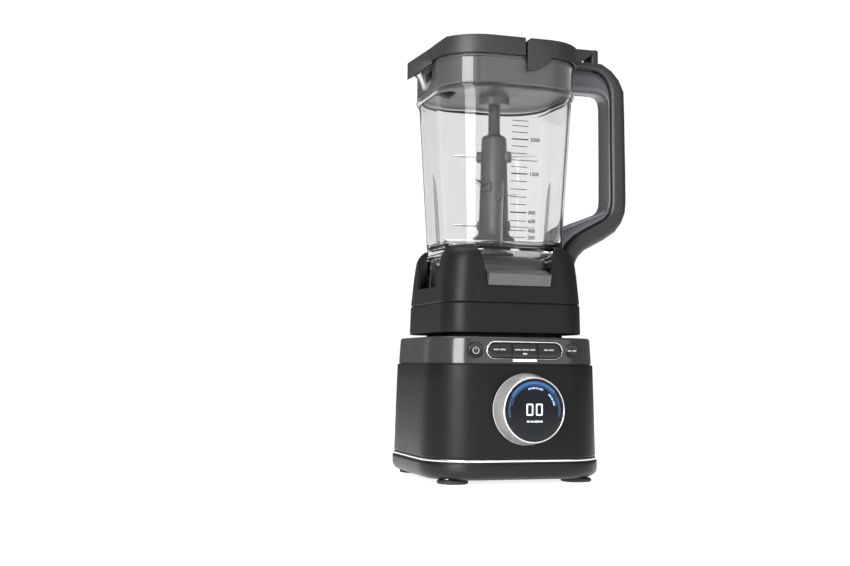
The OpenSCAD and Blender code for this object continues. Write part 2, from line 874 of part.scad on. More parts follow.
// Dark hub under the jug's floor that holds the spindle's bearing
module jug_hub() {
    bore = spindle_r + 1;
    color("#232325") difference() {
        union() {
            translate([0, 0, z_web]) cylinder(h = z_hub - z_web, r1 = hub_r, r2 = hub_top_r);
            translate([0, 0, z_web - wall - 6]) cylinder(h = wall + 6, r = hub_stub_r);
            translate([0, 0, z_hub]) cylinder(h = wall + 1.5, r = hub_neck_r);
        }
        translate([0, 0, z_web - wall - 6 - eps]) cylinder(h = z_floor, r = bore);
        translate([0, 0, z_web - wall - 6 - eps])
            cylinder(h = 8 + 2 * eps, r1 = hub_stub_r - 4, r2 = bearing_r + 3);
        translate([0, 0, z_web]) cylinder(h = bearing_h, r = bearing_r);
        translate([0, 0, z_web - wall]) cylinder(h = wall + eps, r = bearing_r);
        translate([0, 0, z_hub - 2]) cylinder(h = wall + 2 + 1.5 + eps, r = seal_r);
    }
}

module spindle_bearing() {
    translate([0, 0, z_web]) bearing(bearing_r, spindle_r + run_fit, bearing_h);
}

module spindle_seal() {
    color("#8c1d18") translate([0, 0, z_hub - 2]) ring(seal_r, spindle_r + run_fit, wall + 3);
}

// ---- Handle ----

// Side view of the whole handle, X across and Z up
module handle_outline() {
    polygon([
        [arm_root, arm_low], [grip_in - 12, arm_low], [grip_in - 3, arm_low - 4], [grip_in, arm_low - 12],
        [grip_in + 1, elbow_z + 8], [grip_in - 3, elbow_z], [86, z_floor + 30],
        [jug_at(z_floor + 27) + 2, z_floor + 26], [root_x, z_hub], [root_x, root_z], [crown_half + 2, root_z],
        [crown_half + 6, z_crown_top - 24], [crown_half + 10, z_crown_top - 9],
        [crown_half + 22, z_floor + 4], [handle_reach - 18, z_floor + 19], [handle_reach - 3, z_floor + 36],
        [handle_reach, z_floor + 53], [handle_reach - 1, z_rim - 9], [handle_reach - 7, z_rim + 2],
        [handle_reach - 18, z_rim + 12], [catch_x + 9, z_rim + 17], [catch_x + 7.5, catch_top],
        [catch_x, catch_top], [catch_x, arm_top], [arm_root + 6, arm_top - 8], [arm_root, arm_top - 8]
    ]);
}

// The lighter strip let into the handle's inner side
module insert_outline() {
    polygon([
        [arm_root + 8, arm_low], [grip_in - 12, arm_low], [grip_in - 3, arm_low - 4], [grip_in, arm_low - 12],
        [grip_in + 1, elbow_z + 8], [grip_in - 3, elbow_z], [92, z_floor + 32],
        [94, z_floor + 25], [grip_in + insert_t - 5, elbow_z - 9], [grip_in + insert_t, elbow_z + 4],
        [grip_in + insert_t - 1, arm_low - 8], [grip_in + 1, arm_low + 6], [arm_root + 8, arm_low + 7]
    ]);
}

module upright(thickness) {
    rotate([90, 0, 0]) linear_extrude(thickness, center = true) children();
}

module handle_shell() {
    color("#38383a") difference() {
        upright(handle_w) handle_outline();
        upright(insert_w) insert_outline();
        handle_screw_holes(screw_r);
    }
}

module handle_insert() {
    color("#6b6b6e") upright(insert_w) insert_outline();
}

// Holes for the two screws that hold the handle's root down on the crown
module handle_screw_holes(r) {
    for (y = [-7, 7]) translate([root_x + 4.5, y, z_crown - eps]) {
        cylinder(h = root_z - z_crown + 13, r = r);
        cylinder(h = root_head_h + eps, r = screw_head_r);
    }
}

module handle_screws() {
    color("silver") for (y = [-7, 7]) translate([root_x + 4.5, y, 0]) {
        translate([0, 0, z_crown + root_head_h - screw_head_h])
            cylinder(h = screw_head_h, r = screw_head_r - snug);
        translate([0, 0, z_crown + root_head_h])
            cylinder(h = root_z - z_crown - root_head_h + 12, r = screw_r);
    }
}

// ---- Blades ----

module drive_spindle() {
    hex_h = 9;
    z_hex = socket_floor + 0.8;
    color("#c9ccd0") {
        translate([0, 0, z_hex]) cylinder(h = hex_h, r = drive_r, $fn = 6);
        translate([0, 0, z_hex + hex_h]) cylinder(h = z_column - z_hex - hex_h + 12, r = spindle_r);
    }
}

module column_solid() {
    translate([0, 0, z_column]) cylinder(h = column_base_h, r1 = 21, r2 = column_r);
    translate([0, 0, z_column + column_base_h]) cylinder(h = column_h, r1 = column_r, r2 = column_top_r);
}

module blade_column() {
    color("#3d393a") difference() {
        union() {
            column_solid();
            translate([0, 0, z_column_top]) cylinder(h = z_plug - z_column_top - 1, r = pilot_r);
        }
        translate([0, 0, z_column - eps]) cylinder(h = 12 + eps, r = spindle_r);
    }
}

// One flat blade on its split ear, pointing along X at height z
module blade(z) {
    ear = column_at(z) + blade_ear;
    difference() {
        translate([0, 0, z]) linear_extrude(blade_t) {
            intersection() {
                circle(ear);
                translate([0, -ear]) square([ear, 2 * ear]);
            }
            polygon([[0, -8], [blade_reach - 10, -6], [blade_reach, 5], [blade_reach - 20, 6], [0, 8]]);
        }
        column_solid();
    }
}

module blades() {
    color("#d0d3d6") for (b = [[0.06, 0], [0.06, 180], [0.34, 200], [0.46, 20], [0.82, 0], [0.82, 180]])
        rotate([0, 0, b[1]]) blade(z_column + column_base_h + b[0] * column_h);
}

// ---- Lid ----

module lid_outline(h, inset) {
    block(lid_half - inset, lid_side - inset, lid_corner - inset, h);
}

module lid_cover() {
    color("#3b3b3d") difference() {
        union() {
            difference() {
                intersection() {
                    union() {
                        translate([0, 0, z_lid]) lid_outline(lid_h, 0);
                        hood();
                    }
                    under_slope(0);
                }
                intersection() {
                    union() {
                        translate([0, 0, z_lid - eps]) lid_outline(lid_h - wall + eps, wall);
                        hood_prism(hood_t);
                    }
                    under_slope(wall);
                }
                span([cover_edge, -lid_side - eps, z_lid - eps],
                    [lid_half + eps, lid_side + eps, z_lid_top + eps]);
            }
            difference() {
                span([0, -pocket_half + free_gap, z_lid],
                    [pocket_x - swing_gap, pocket_half - free_gap, z_lid_top - 1]);
                span([-eps, -pocket_half + wall, z_lid - eps],
                    [pocket_x - swing_gap - wall, pocket_half - wall, z_lid_top - 1 - wall]);
            }
            for (side = [0, 1]) mirror([0, side, 0]) lever_lug();
        }
        span([-cap_far - free_gap, -pour_half - free_gap, z_lid_top - cap_t - free_gap],
            [cap_hinge_x + 2.8, pour_half + free_gap, z_lid_top + eps]);
        span([-cap_far + 4, -pour_half + 3, z_lid - eps], [cap_hinge_x - 6, pour_half - 3, z_lid_top + eps]);
        translate([cap_hinge_x, 0, cap_hinge_z])
            rod_y(cap_pin_r + run_fit, -pour_half - 3, pour_half + 3);
        translate([hinge_x, 0, hinge_z]) for (side = [0, 180]) rotate([0, 0, side])
            rod_y(pin_r, ear_in - 9, lid_side);
    }
}

// Round-nosed prism over the pouring lip, shrunk by a wall for its hollow
module hood_prism(inset) {
    nose_x = hood_nose_r - hood_reach;
    nose_r = hood_nose_r - inset;
    back = lid_half - 7;
    run = nose_x + back;
    slant = atan2(hood_side, -run) - asin(hood_nose_r / norm([run, hood_side]));
    side = hood_side - inset / cos(slant);
    turn = 90 + slant;
    z_low = z_rim - hood_drop - eps;
    prism_h = z_lid_top - z_low + eps;
    translate([0, 0, z_low]) {
        linear_extrude(prism_h) polygon([
            [-back, side], [-back, -side],
            [nose_x + nose_r * cos(turn), -nose_r * sin(turn)],
            [nose_x + nose_r * cos(turn), nose_r * sin(turn)]
        ]);
        translate([nose_x, 0, 0]) cylinder(h = prism_h, r = nose_r);
    }
}

// Hood whose foot slopes down from the rim to its tip
module hood() {
    intersection() {
        hood_prism(0);
        upright(2 * hood_side + 2 * eps) polygon([
            [eps - lid_half + 7, z_lid], [-rim_half - free_gap, z_lid], [-rim_half - free_gap, z_rim - 2.5],
            [-hood_reach - eps, z_rim - hood_drop], [-hood_reach - eps, z_lid_top + 2 * eps],
            [eps - lid_half + 7, z_lid_top + 2 * eps]
        ]);
    }
}

// Everything under the lid's top face and the slope of its left end
module under_slope(inset) {
    fall = (z_lid_top - hood_tip_z) / (hood_reach - slope_x);
    drop = inset * norm([1, fall]);
    upright(2 * lid_side + 4 * eps) polygon([
        [-hood_reach - eps, z_plug], [lid_half + eps, z_plug], [lid_half + eps, z_lid_top + fall * 3],
        [3 - slope_x, z_lid_top + fall * 3 - drop], [-hood_reach - eps, hood_tip_z - fall * eps - drop]
    ]);
}

// Lug on the lid that carries one lever pin
module lever_lug() {
    lug_r = 4.4;
    y0 = pocket_half - wall;
    y1 = ear_in - free_gap;
    difference() {
        union() {
            translate([hinge_x, 0, hinge_z]) rod_y(lug_r, y0, y1);
            span([hinge_x - lug_r, y0, z_lid], [hinge_x + lug_r, y1, hinge_z]);
        }
        span([hinge_x - 6, pocket_half - free_gap, z_lid - eps],
            [hinge_x + 6, pocket_half + wall + free_gap, z_lid_top]);
    }
    span([hinge_x - lug_r, pocket_half - wall, z_lid], [hinge_x + lug_r, y1, z_lid + lug_foot]);
}

module lever_pins() {
    color("silver") for (side = [0, 180]) translate([hinge_x, 0, hinge_z]) rotate([0, 0, side])
        rod_y(pin_r, ear_in - 9, lid_side - 0.2);
}

module lid_plug() {
    cup_h = z_lid - z_plug;
    color("#454547") difference() {
        union() {
            translate([0, 0, z_plug]) block(plug_half, plug_side, plug_corner, cup_h);
            translate([0, 0, z_lid - flange_t]) block(rim_half - jug_wall - free_gap,
                rim_side - jug_wall - free_gap, rim_corner - jug_wall - free_gap, flange_t);
            translate([0, 0, z_plug - boss_h]) cylinder(h = boss_h, r = boss_r);
        }
        translate([0, 0, z_plug + wall])
            block(plug_half - wall, plug_side - wall, plug_corner - wall, cup_h);
        translate([0, 0, z_plug - boss_h - eps]) cylinder(h = boss_h + eps, r = pilot_r + run_fit);
        span([-cap_far + 4, -pour_half + 3, z_plug - eps],
            [cap_hinge_x - 6, pour_half - 3, z_plug + wall + eps]);
        span([-plug_half - eps, -pour_half + 3, z_rim - 16],
            [-plug_half + wall + eps, pour_half - 3, z_rim - 6]);
    }
}

module lid_gasket() {
    gasket_h = 5;
    color("#1a1a1b") translate([0, 0, z_plug + 2]) difference() {
        block(rim_half - jug_wall - free_gap, rim_side - jug_wall - free_gap,
            rim_corner - jug_wall - free_gap, gasket_h);
        translate([0, 0, -eps]) block(plug_half, plug_side, plug_corner, gasket_h + 2 * eps);
    }
}

// U-shaped lever that folds down over the lid and hooks under the handle's catch
module locking_lever() {
    color("#404042") difference() {
        union() {
            difference() {
                intersection() {
                    translate([0, 0, z_lid]) lid_outline(lid_h, 0);
                    span([hinge_x, -lid_side - eps, z_lid - eps],
                        [lid_half + eps, lid_side + eps, z_lid_top + eps]);
                }
                translate([0, 0, z_lid - eps]) lid_outline(lid_h - wall + eps, ear_t);
            }
            difference() {
                span([hinge_x, -pocket_half - wall, z_lid + lug_foot + free_gap],
                    [pocket_x + wall, pocket_half + wall, z_lid_top]);
                span([hinge_x - eps, -pocket_half, z_lid], [pocket_x, pocket_half, z_lid_top + eps]);
            }
            for (side = [0, 1]) mirror([0, side, 0]) lever_ear();
            tongue();
        }
        span([0, -pocket_half, z_lid - eps], [pocket_x, pocket_half, z_lid_top + eps]);
        translate([hinge_x, 0, hinge_z]) rod_y(pin_r + run_fit, -lid_side - eps, lid_side + eps);
        span([release_x - free_gap, -release_half - free_gap, z_lid_top - 1],
            [release_x + release_w + free_gap, release_half + free_gap, tongue_top + eps]);
    }
}

// Ear that hangs down outside the jug's rim
module lever_ear() {
    chamfer = 3;
    translate([0, lid_side, 0]) rotate([90, 0, 0]) linear_extrude(ear_t) polygon([
        [lever_edge, z_lid - ear_drop], [19, z_lid - ear_drop + 2], [hinge_x + 16, z_lid - 6],
        [lid_half - lid_corner + 4, z_lid], [lid_half - lid_corner + 4, z_lid_top],
        [lever_edge + chamfer, z_lid_top], [lever_edge, z_lid_top - chamfer]
    ]);
    translate([0, lid_side, 0]) rotate([90, 0, 0]) linear_extrude(lid_side - pocket_half) polygon([
        [lever_edge + chamfer, z_lid_top], [lever_edge + 1, z_lid_top - 2],
        [lever_edge + 1, z_lid_top - wall], [hinge_x, z_lid_top - wall], [hinge_x, z_lid_top]
    ]);
}

// Raised tongue that reaches over the handle's arm to the catch
module tongue() {
    upright(2 * tongue_half) polygon([
        [pocket_x + 4, z_lid_top - wall], [pocket_x + 6, z_lid_top], [release_x - 3, tongue_top],
        [tongue_reach, tongue_top], [tongue_reach, tongue_top - 5], [lid_half + 14, z_lid_top - 3],
        [lid_half - 1, z_lid_top - 3]
    ]);
}

module release_button() {
    foot = z_lid_top - 1 + release_travel + 0.4;
    color("#5a5a5d")
        span([release_x, -release_half, foot], [release_x + release_w, release_half, tongue_top]);
}

module spout_cap() {
    color("#454547") {
        difference() {
            span([-cap_far, -pour_half, z_lid_top - cap_t], [cap_hinge_x, pour_half, z_lid_top]);
            span([-cap_far - eps, -5, z_lid_top - cap_t - eps], [-cap_far + 2, 5, z_lid_top - 1]);
        }
        translate([cap_hinge_x, 0, cap_hinge_z]) {
            rod_y(cap_t / 2, -pour_half, pour_half);
            rod_y(cap_pin_r, -pour_half - 2.6, pour_half + 2.6);
        }
        span([-cap_far + 7, -pour_half + 4, z_lid_top - 9],
            [cap_hinge_x - 12, pour_half - 4, z_lid_top - cap_t]);
    }
}

suction_feet();
base_tray();
base_screws();
trim_ring();
motor_housing();
control_band();
deck_screws();
jug_seat();
button_bezel();
indicator_light();
control_board();
display_can();
display_window();
display_board();
lower_bracket();
upper_bracket();
field_core();
field_windings();
brush_holders();
carbon_brushes();
lower_bearing();
upper_bearing();
motor_dampers();
motor_screws();
cord_gland();
motor_shaft();
rotor_core();
commutator();
cooling_fan();
drive_socket();
dial_ring();
dial_carrier();
encoder_wheel();
power_button();
left_mode_button();
centre_mode_button();
right_mode_button();
pulse_button();
interlock_plunger();
jug();
collar_band();
collar_crown();
crown_ledge();
jug_hub();
spindle_bearing();
spindle_seal();
handle_shell();
handle_insert();
handle_screws();
drive_spindle();
blade_column();
blades();
lid_cover();
lid_plug();
lid_gasket();
lever_pins();
locking_lever();
release_button();
spout_cap();
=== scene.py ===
"""Looks of a countertop blender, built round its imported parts."""

import logging
import math
from collections.abc import Iterable, Sequence
from dataclasses import dataclass, field
from enum import Enum

import bmesh
import bpy
from mathutils import Matrix, Vector, kdtree


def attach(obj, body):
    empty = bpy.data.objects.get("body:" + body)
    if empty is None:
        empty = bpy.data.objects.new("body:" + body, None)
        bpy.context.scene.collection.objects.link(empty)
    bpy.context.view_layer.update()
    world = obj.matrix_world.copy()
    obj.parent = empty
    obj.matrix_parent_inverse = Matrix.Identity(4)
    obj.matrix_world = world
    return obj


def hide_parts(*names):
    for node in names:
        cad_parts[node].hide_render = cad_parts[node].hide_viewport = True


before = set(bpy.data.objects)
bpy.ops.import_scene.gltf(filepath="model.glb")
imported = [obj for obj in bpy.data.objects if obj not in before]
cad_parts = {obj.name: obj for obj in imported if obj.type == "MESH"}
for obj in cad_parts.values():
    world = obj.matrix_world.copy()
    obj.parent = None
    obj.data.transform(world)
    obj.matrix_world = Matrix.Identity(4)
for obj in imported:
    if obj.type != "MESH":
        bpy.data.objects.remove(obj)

LOG = logging.getLogger("blender_looks")
MM = 0.001
MERGE = 0.002 * MM
SMOOTH_ANGLE = 34.0
WALL = 3.0
KEY_Z = 123.1
DIAL_Z = 69.1
PANEL_X = 1.0
POWER_X = -47.2
PULSE_X = 48.5
Point = tuple[float, float, float]
Colour = tuple[float, float, float]


# ---------------------------------------------------------------- shader tools


class Val:
    """A shader socket that takes part in sums."""

    def __init__(self, graph: "Graph", socket: bpy.types.NodeSocket) -> None:
        """Keep the graph and the socket."""
        self.graph = graph
        self.socket = socket

    def __add__(self, other: "Val | float") -> "Val":
        """Sum of two values."""
        return self.graph.maths("ADD", self, other)

    __radd__ = __add__

    def __sub__(self, other: "Val | float") -> "Val":
        """Difference of two values."""
        return self.graph.maths("SUBTRACT", self, other)

    def __rsub__(self, other: float) -> "Val":
        """Difference from a number."""
        return self.graph.maths("SUBTRACT", other, self)

    def __mul__(self, other: "Val | float") -> "Val":
        """Product of two values."""
        return self.graph.maths("MULTIPLY", self, other)

    __rmul__ = __mul__


class Graph:
    """One material's node tree."""

    def __init__(self, name: str) -> None:
        """Start an empty node tree.

        Args:
            name: name of the material.
        """
        self.material = bpy.data.materials.new(name)
        self.material.use_nodes = True
        self.tree = self.material.node_tree
        self.tree.nodes.clear()

    def node(
        self,
        kind: str,
        settings: dict[str, object] | None = None,
        inputs: dict[str | int, object] | None = None,
    ) -> bpy.types.Node:
        """Add a node.

        Args:
            kind: the node's type.
            settings: the node's own settings, set first; "stops" fills a ramp.
            inputs: values or links of its sockets.

        Returns:
            The new node.
        """
        made = self.tree.nodes.new(kind)
        for key, value in (settings or {}).items():
            if key == "stops":
                self._ramp(made, value)
            else:
                setattr(made, key, value)
        for key, value in (inputs or {}).items():
            self.feed(made.inputs[key], value)
        return made

    def _ramp(self, made: bpy.types.Node, stops: Sequence[tuple[float, Colour]]) -> None:
        """Fill a ramp with its stops.

        Args:
            made: the ramp node.
            stops: place and colour of each stop.
        """
        ramp = made.color_ramp
        while len(ramp.elements) < len(stops):
            ramp.elements.new(1.0)
        for element, (place, colour) in zip(ramp.elements, stops):
            element.position = place
            element.color = (*colour, 1.0)

    def feed(self, socket: bpy.types.NodeSocket, value: object) -> None:
        """Link or set a socket.

        Args:
            socket: the input to fill.
            value: a shader value, a colour or a number.
        """
        if isinstance(value, Val):
            self.tree.links.new(value.socket, socket)
        elif isinstance(value, tuple) and len(value) == 3 and socket.type == "RGBA":
            socket.default_value = (*value, 1.0)
        else:
            socket.default_value = value

    def maths(self, operation: str, a: Val | float, b: Val | float = 0.0) -> Val:
        """A maths node's result."""
        return Val(self, self.node("ShaderNodeMath", {"operation": operation}, {0: a, 1: b}).outputs[0])

    def coordinates(self) -> Val:
        """The object's own coordinates, in metres."""
        return Val(self, self.node("ShaderNodeTexCoord").outputs["Object"])

    def axes(self) -> tuple[Val, Val, Val]:
        """The three object coordinates."""
        split = self.node("ShaderNodeSeparateXYZ", inputs={0: self.coordinates()})
        return tuple(Val(self, split.outputs[i]) for i in range(3))

    def noise(
        self, scale: float, detail: float = 2.0, stretch: Point = (1, 1, 1), rough: float = 0.5
    ) -> Val:
        """Noise over the object's coordinates.

        Args:
            scale: features to the metre.
            detail: octaves of noise.
            stretch: how much finer it is along each axis.
            rough: share of the finer octaves.

        Returns:
            The noise, from 0 to 1.
        """
        spread = self.node(
            "ShaderNodeMapping", {"vector_type": "POINT"}, {"Vector": self.coordinates(), "Scale": stretch}
        )
        made = self.node(
            "ShaderNodeTexNoise",
            inputs={
                "Vector": Val(self, spread.outputs[0]),
                "Scale": scale,
                "Detail": detail,
                "Roughness": rough,
            },
        )
        return Val(self, made.outputs[0])

    def between(self, factor: Val | float, low: Colour | Val, high: Colour | Val) -> Val:
        """A colour between two others."""
        mix = self.node("ShaderNodeMix", {"data_type": "RGBA"}, {0: factor, 6: low, 7: high})
        return Val(self, mix.outputs[2])

    def step(self, value: Val, low: float, high: float) -> Val:
        """A smooth step from 0 at low to 1 at high.

        Args:
            value: what is stepped.
            low: where the step starts.
            high: where it ends.

        Returns:
            The step, from 0 to 1.
        """
        ramp = self.node(
            "ShaderNodeMapRange",
            {"interpolation_type": "SMOOTHSTEP"},
            {0: value, 1: low, 2: high, 3: 0.0, 4: 1.0},
        )
        return Val(self, ramp.outputs[0])

    def bump(self, height: Val, strength: float, depth: float) -> Val:
        """A normal bent by a height.

        Args:
            height: the relief, from 0 to 1.
            strength: how much of it shows.
            depth: its depth in metres.

        Returns:
            The bent normal.
        """
        made = self.node(
            "ShaderNodeBump", inputs={"Strength": strength, "Distance": depth, "Height": height}
        )
        return Val(self, made.outputs[0])

    def finish(self, sockets: dict[str, object]) -> bpy.types.Material:
        """End the tree in a surface shader.

        Args:
            sockets: values or links of the surface shader.

        Returns:
            The material.
        """
        surface = self.node("ShaderNodeBsdfPrincipled", inputs=sockets)
        out = self.node("ShaderNodeOutputMaterial")
        self.tree.links.new(surface.outputs[0], out.inputs[0])
        return self.material


# ------------------------------------------------------------------- finishes


@dataclass(frozen=True)
class Moulded:
    """Moulded plastic with a fine eroded grain and a faint mottle."""

    name: str
    tone: Colour
    rough: float = 0.4
    grain: float = 0.12
    grain_scale: float = 2600.0
    mottle: float = 0.12
    coat: float = 0.0
    specular: float = 0.5

    def material(self) -> bpy.types.Material:
        """Build the material.

        Returns:
            The material.
        """
        g = Graph(self.name)
        broad = g.noise(38.0, 3.0)
        fine = g.noise(self.grain_scale, 2.0)
        dark = tuple(c * (1 - self.mottle) for c in self.tone)
        light = tuple(c * (1 + self.mottle) + 0.0015 for c in self.tone)
        return g.finish(
            {
                "Base Color": g.between(broad * 0.7 + fine * 0.3, dark, light),
                "Roughness": (broad - 0.5) * 0.16 + (fine - 0.5) * 0.08 + self.rough,
                "Specular IOR Level": self.specular,
                "Coat Weight": self.coat,
                "Coat Roughness": 0.06,
                "Normal": g.bump(fine, self.grain, 0.00012),
            }
        )


@dataclass(frozen=True)
class Rubber:
    """Matt moulded rubber with pale dust in its pores."""

    name: str
    tone: Colour = (0.02, 0.02, 0.021)

    def material(self) -> bpy.types.Material:
        """Build the material.

        Returns:
            The material.
        """
        g = Graph(self.name)
        pores = g.noise(1800.0, 4.0)
        dust = g.step(g.noise(160.0, 4.0), 0.52, 0.8)
        return g.finish(
            {
                "Base Color": g.between(dust * 0.5, self.tone, (0.06, 0.06, 0.058)),
                "Roughness": 0.62 + pores * 0.25,
                "Normal": g.bump(pores, 0.35, 0.0002),
            }
        )


class Lay(Enum):
    """The way that brush lines run on metal."""

    ACROSS_X = (60.0, 1400.0, 1400.0)
    NONE = (1.0, 1.0, 1.0)


@dataclass(frozen=True)
class Metal:
    """Metal with brush lines, tarnish and small scratches."""

    name: str
    tone: Colour
    rough: float = 0.3
    lay: Lay = Lay.NONE
    scale: float = 1.0
    lines: float = 0.25

    def material(self) -> bpy.types.Material:
        """Build the material.

        Returns:
            The material.
        """
        g = Graph(self.name)
        brushed = self.lay is not Lay.NONE
        fine = g.noise(self.scale if brushed else 900.0, 3.0, self.lay.value)
        broad = g.noise(60.0, 3.0)
        dull = tuple(c * 0.78 for c in self.tone)
        return g.finish(
            {
                "Base Color": g.between(broad * 0.5 + fine * 0.5, dull, self.tone),
                "Metallic": 1.0,
                "Roughness": self.rough + (fine - 0.5) * self.lines + (broad - 0.5) * 0.08,
                "Normal": g.bump(fine, 0.12, 0.00008),
            }
        )


@dataclass(frozen=True)
class Spun:
    """Bright metal turned about a level axis, with rings left by the tool."""

    name: str
    tone: Colour
    centre_z: float
    rough: float = 0.2
    rings: float = 2400.0
    metallic: float = 1.0

    def material(self) -> bpy.types.Material:
        """Build the material.

        Returns:
            The material.
        """
        g = Graph(self.name)
        x, y, z = g.axes()
        rise = z - self.centre_z
        radius = g.maths("SQRT", x * x + rise * rise)
        ring = g.node(
            "ShaderNodeTexNoise",
            {"noise_dimensions": "2D"},
            {
                "Vector": Val(g, g.node("ShaderNodeCombineXYZ", inputs={0: radius, 1: y}).outputs[0]),
                "Scale": self.rings,
                "Detail": 3.0,
            },
        )
        rings = Val(g, ring.outputs[0])
        haze = g.noise(70.0, 3.0)
        return g.finish(
            {
                "Base Color": g.between(
                    rings * 0.6 + haze * 0.4, tuple(c * 0.72 for c in self.tone), self.tone
                ),
                "Metallic": self.metallic,
                "Roughness": self.rough + (rings - 0.5) * 0.2 + (haze - 0.5) * 0.08,
                "Normal": g.bump(rings, 0.1, 0.00005),
            }
        )


@dataclass(frozen=True)
class Clear:
    """Clear plastic with a smoky tint, faint flow lines and fine scuffs."""

    name: str
    tint: Colour = (0.888, 0.878, 0.88)
    rough: float = 0.02
    ior: float = 1.3

    def material(self) -> bpy.types.Material:
        """Build the material.

        Returns:
            The material.
        """
        g = Graph(self.name)
        flow = g.noise(24.0, 3.0, (1.0, 1.0, 0.25))
        scuff = g.step(g.noise(700.0, 4.0), 0.62, 0.8)
        deep = tuple(c * 0.94 for c in self.tint)
        return g.finish(
            {
                "Base Color": g.between(flow, deep, self.tint),
                "Roughness": self.rough + scuff * 0.06 + flow * 0.02,
                "IOR": self.ior,
                "Transmission Weight": 1.0,
                "Normal": g.bump(flow, 0.04, 0.0006),
            }
        )


@dataclass(frozen=True)
class Lit:
    """A light guide or a lit mark, its glow varying a little in soft patches."""

    name: str
    tone: Colour
    glow: float = 1.0

    def material(self) -> bpy.types.Material:
        """Build the material.

        Returns:
            The material.
        """
        g = Graph(self.name)
        cloud = g.noise(420.0, 2.0)
        dim = tuple(c * 0.86 for c in self.tone)
        return g.finish(
            {
                "Base Color": g.between(cloud, dim, self.tone),
                "Roughness": 0.32 + cloud * 0.1,
                "Emission Color": g.between(cloud, dim, self.tone),
                "Emission Strength": self.glow,
            }
        )


@dataclass(frozen=True)
class Banded:
    """Iron sheets or wire turns stacked along one axis."""

    name: str
    light: Colour
    dark: Colour
    pitch: float
    axis: str = "Z"
    metallic: float = 1.0
    rough: float = 0.4

    def material(self) -> bpy.types.Material:
        """Build the material.

        Returns:
            The material.
        """
        g = Graph(self.name)
        wave = g.node(
            "ShaderNodeTexWave",
            {"bands_direction": self.axis},
            {"Vector": g.coordinates(), "Scale": 0.314 / self.pitch, "Distortion": 0.4, "Detail": 2.0},
        )
        bands = Val(g, wave.outputs[1])
        haze = g.noise(240.0, 3.0)
        return g.finish(
            {
                "Base Color": g.between(bands * 0.8 + haze * 0.2, self.dark, self.light),
                "Metallic": self.metallic,
                "Roughness": self.rough + (haze - 0.5) * 0.2,
                "Normal": g.bump(bands, 0.5, 0.0002),
            }
        )


@dataclass(frozen=True)
class Board:
    """Circuit board: solder mask over copper runs."""

    name: str
    mask: Colour = (0.012, 0.09, 0.035)

    def material(self) -> bpy.types.Material:
        """Build the material.

        Returns:
            The material.
        """
        g = Graph(self.name)
        runs = g.node(
            "ShaderNodeTexBrick",
            {"offset": 0.5},
            {
                "Vector": g.coordinates(),
                "Color1": (0.0, 0.0, 0.0),
                "Color2": (0.1, 0.1, 0.1),
                "Mortar": (1.0, 1.0, 1.0),
                "Scale": 180.0,
                "Mortar Size": 0.04,
            },
        )
        lines = Val(g, runs.outputs[0])
        haze = g.noise(300.0, 2.0)
        mask = g.between(haze, self.mask, tuple(c * 1.3 for c in self.mask))
        return g.finish(
            {
                "Base Color": g.between(lines, mask, (0.05, 0.24, 0.09)),
                "Roughness": 0.28 + haze * 0.16,
                "Normal": g.bump(lines, 0.3, 0.0001),
            }
        )


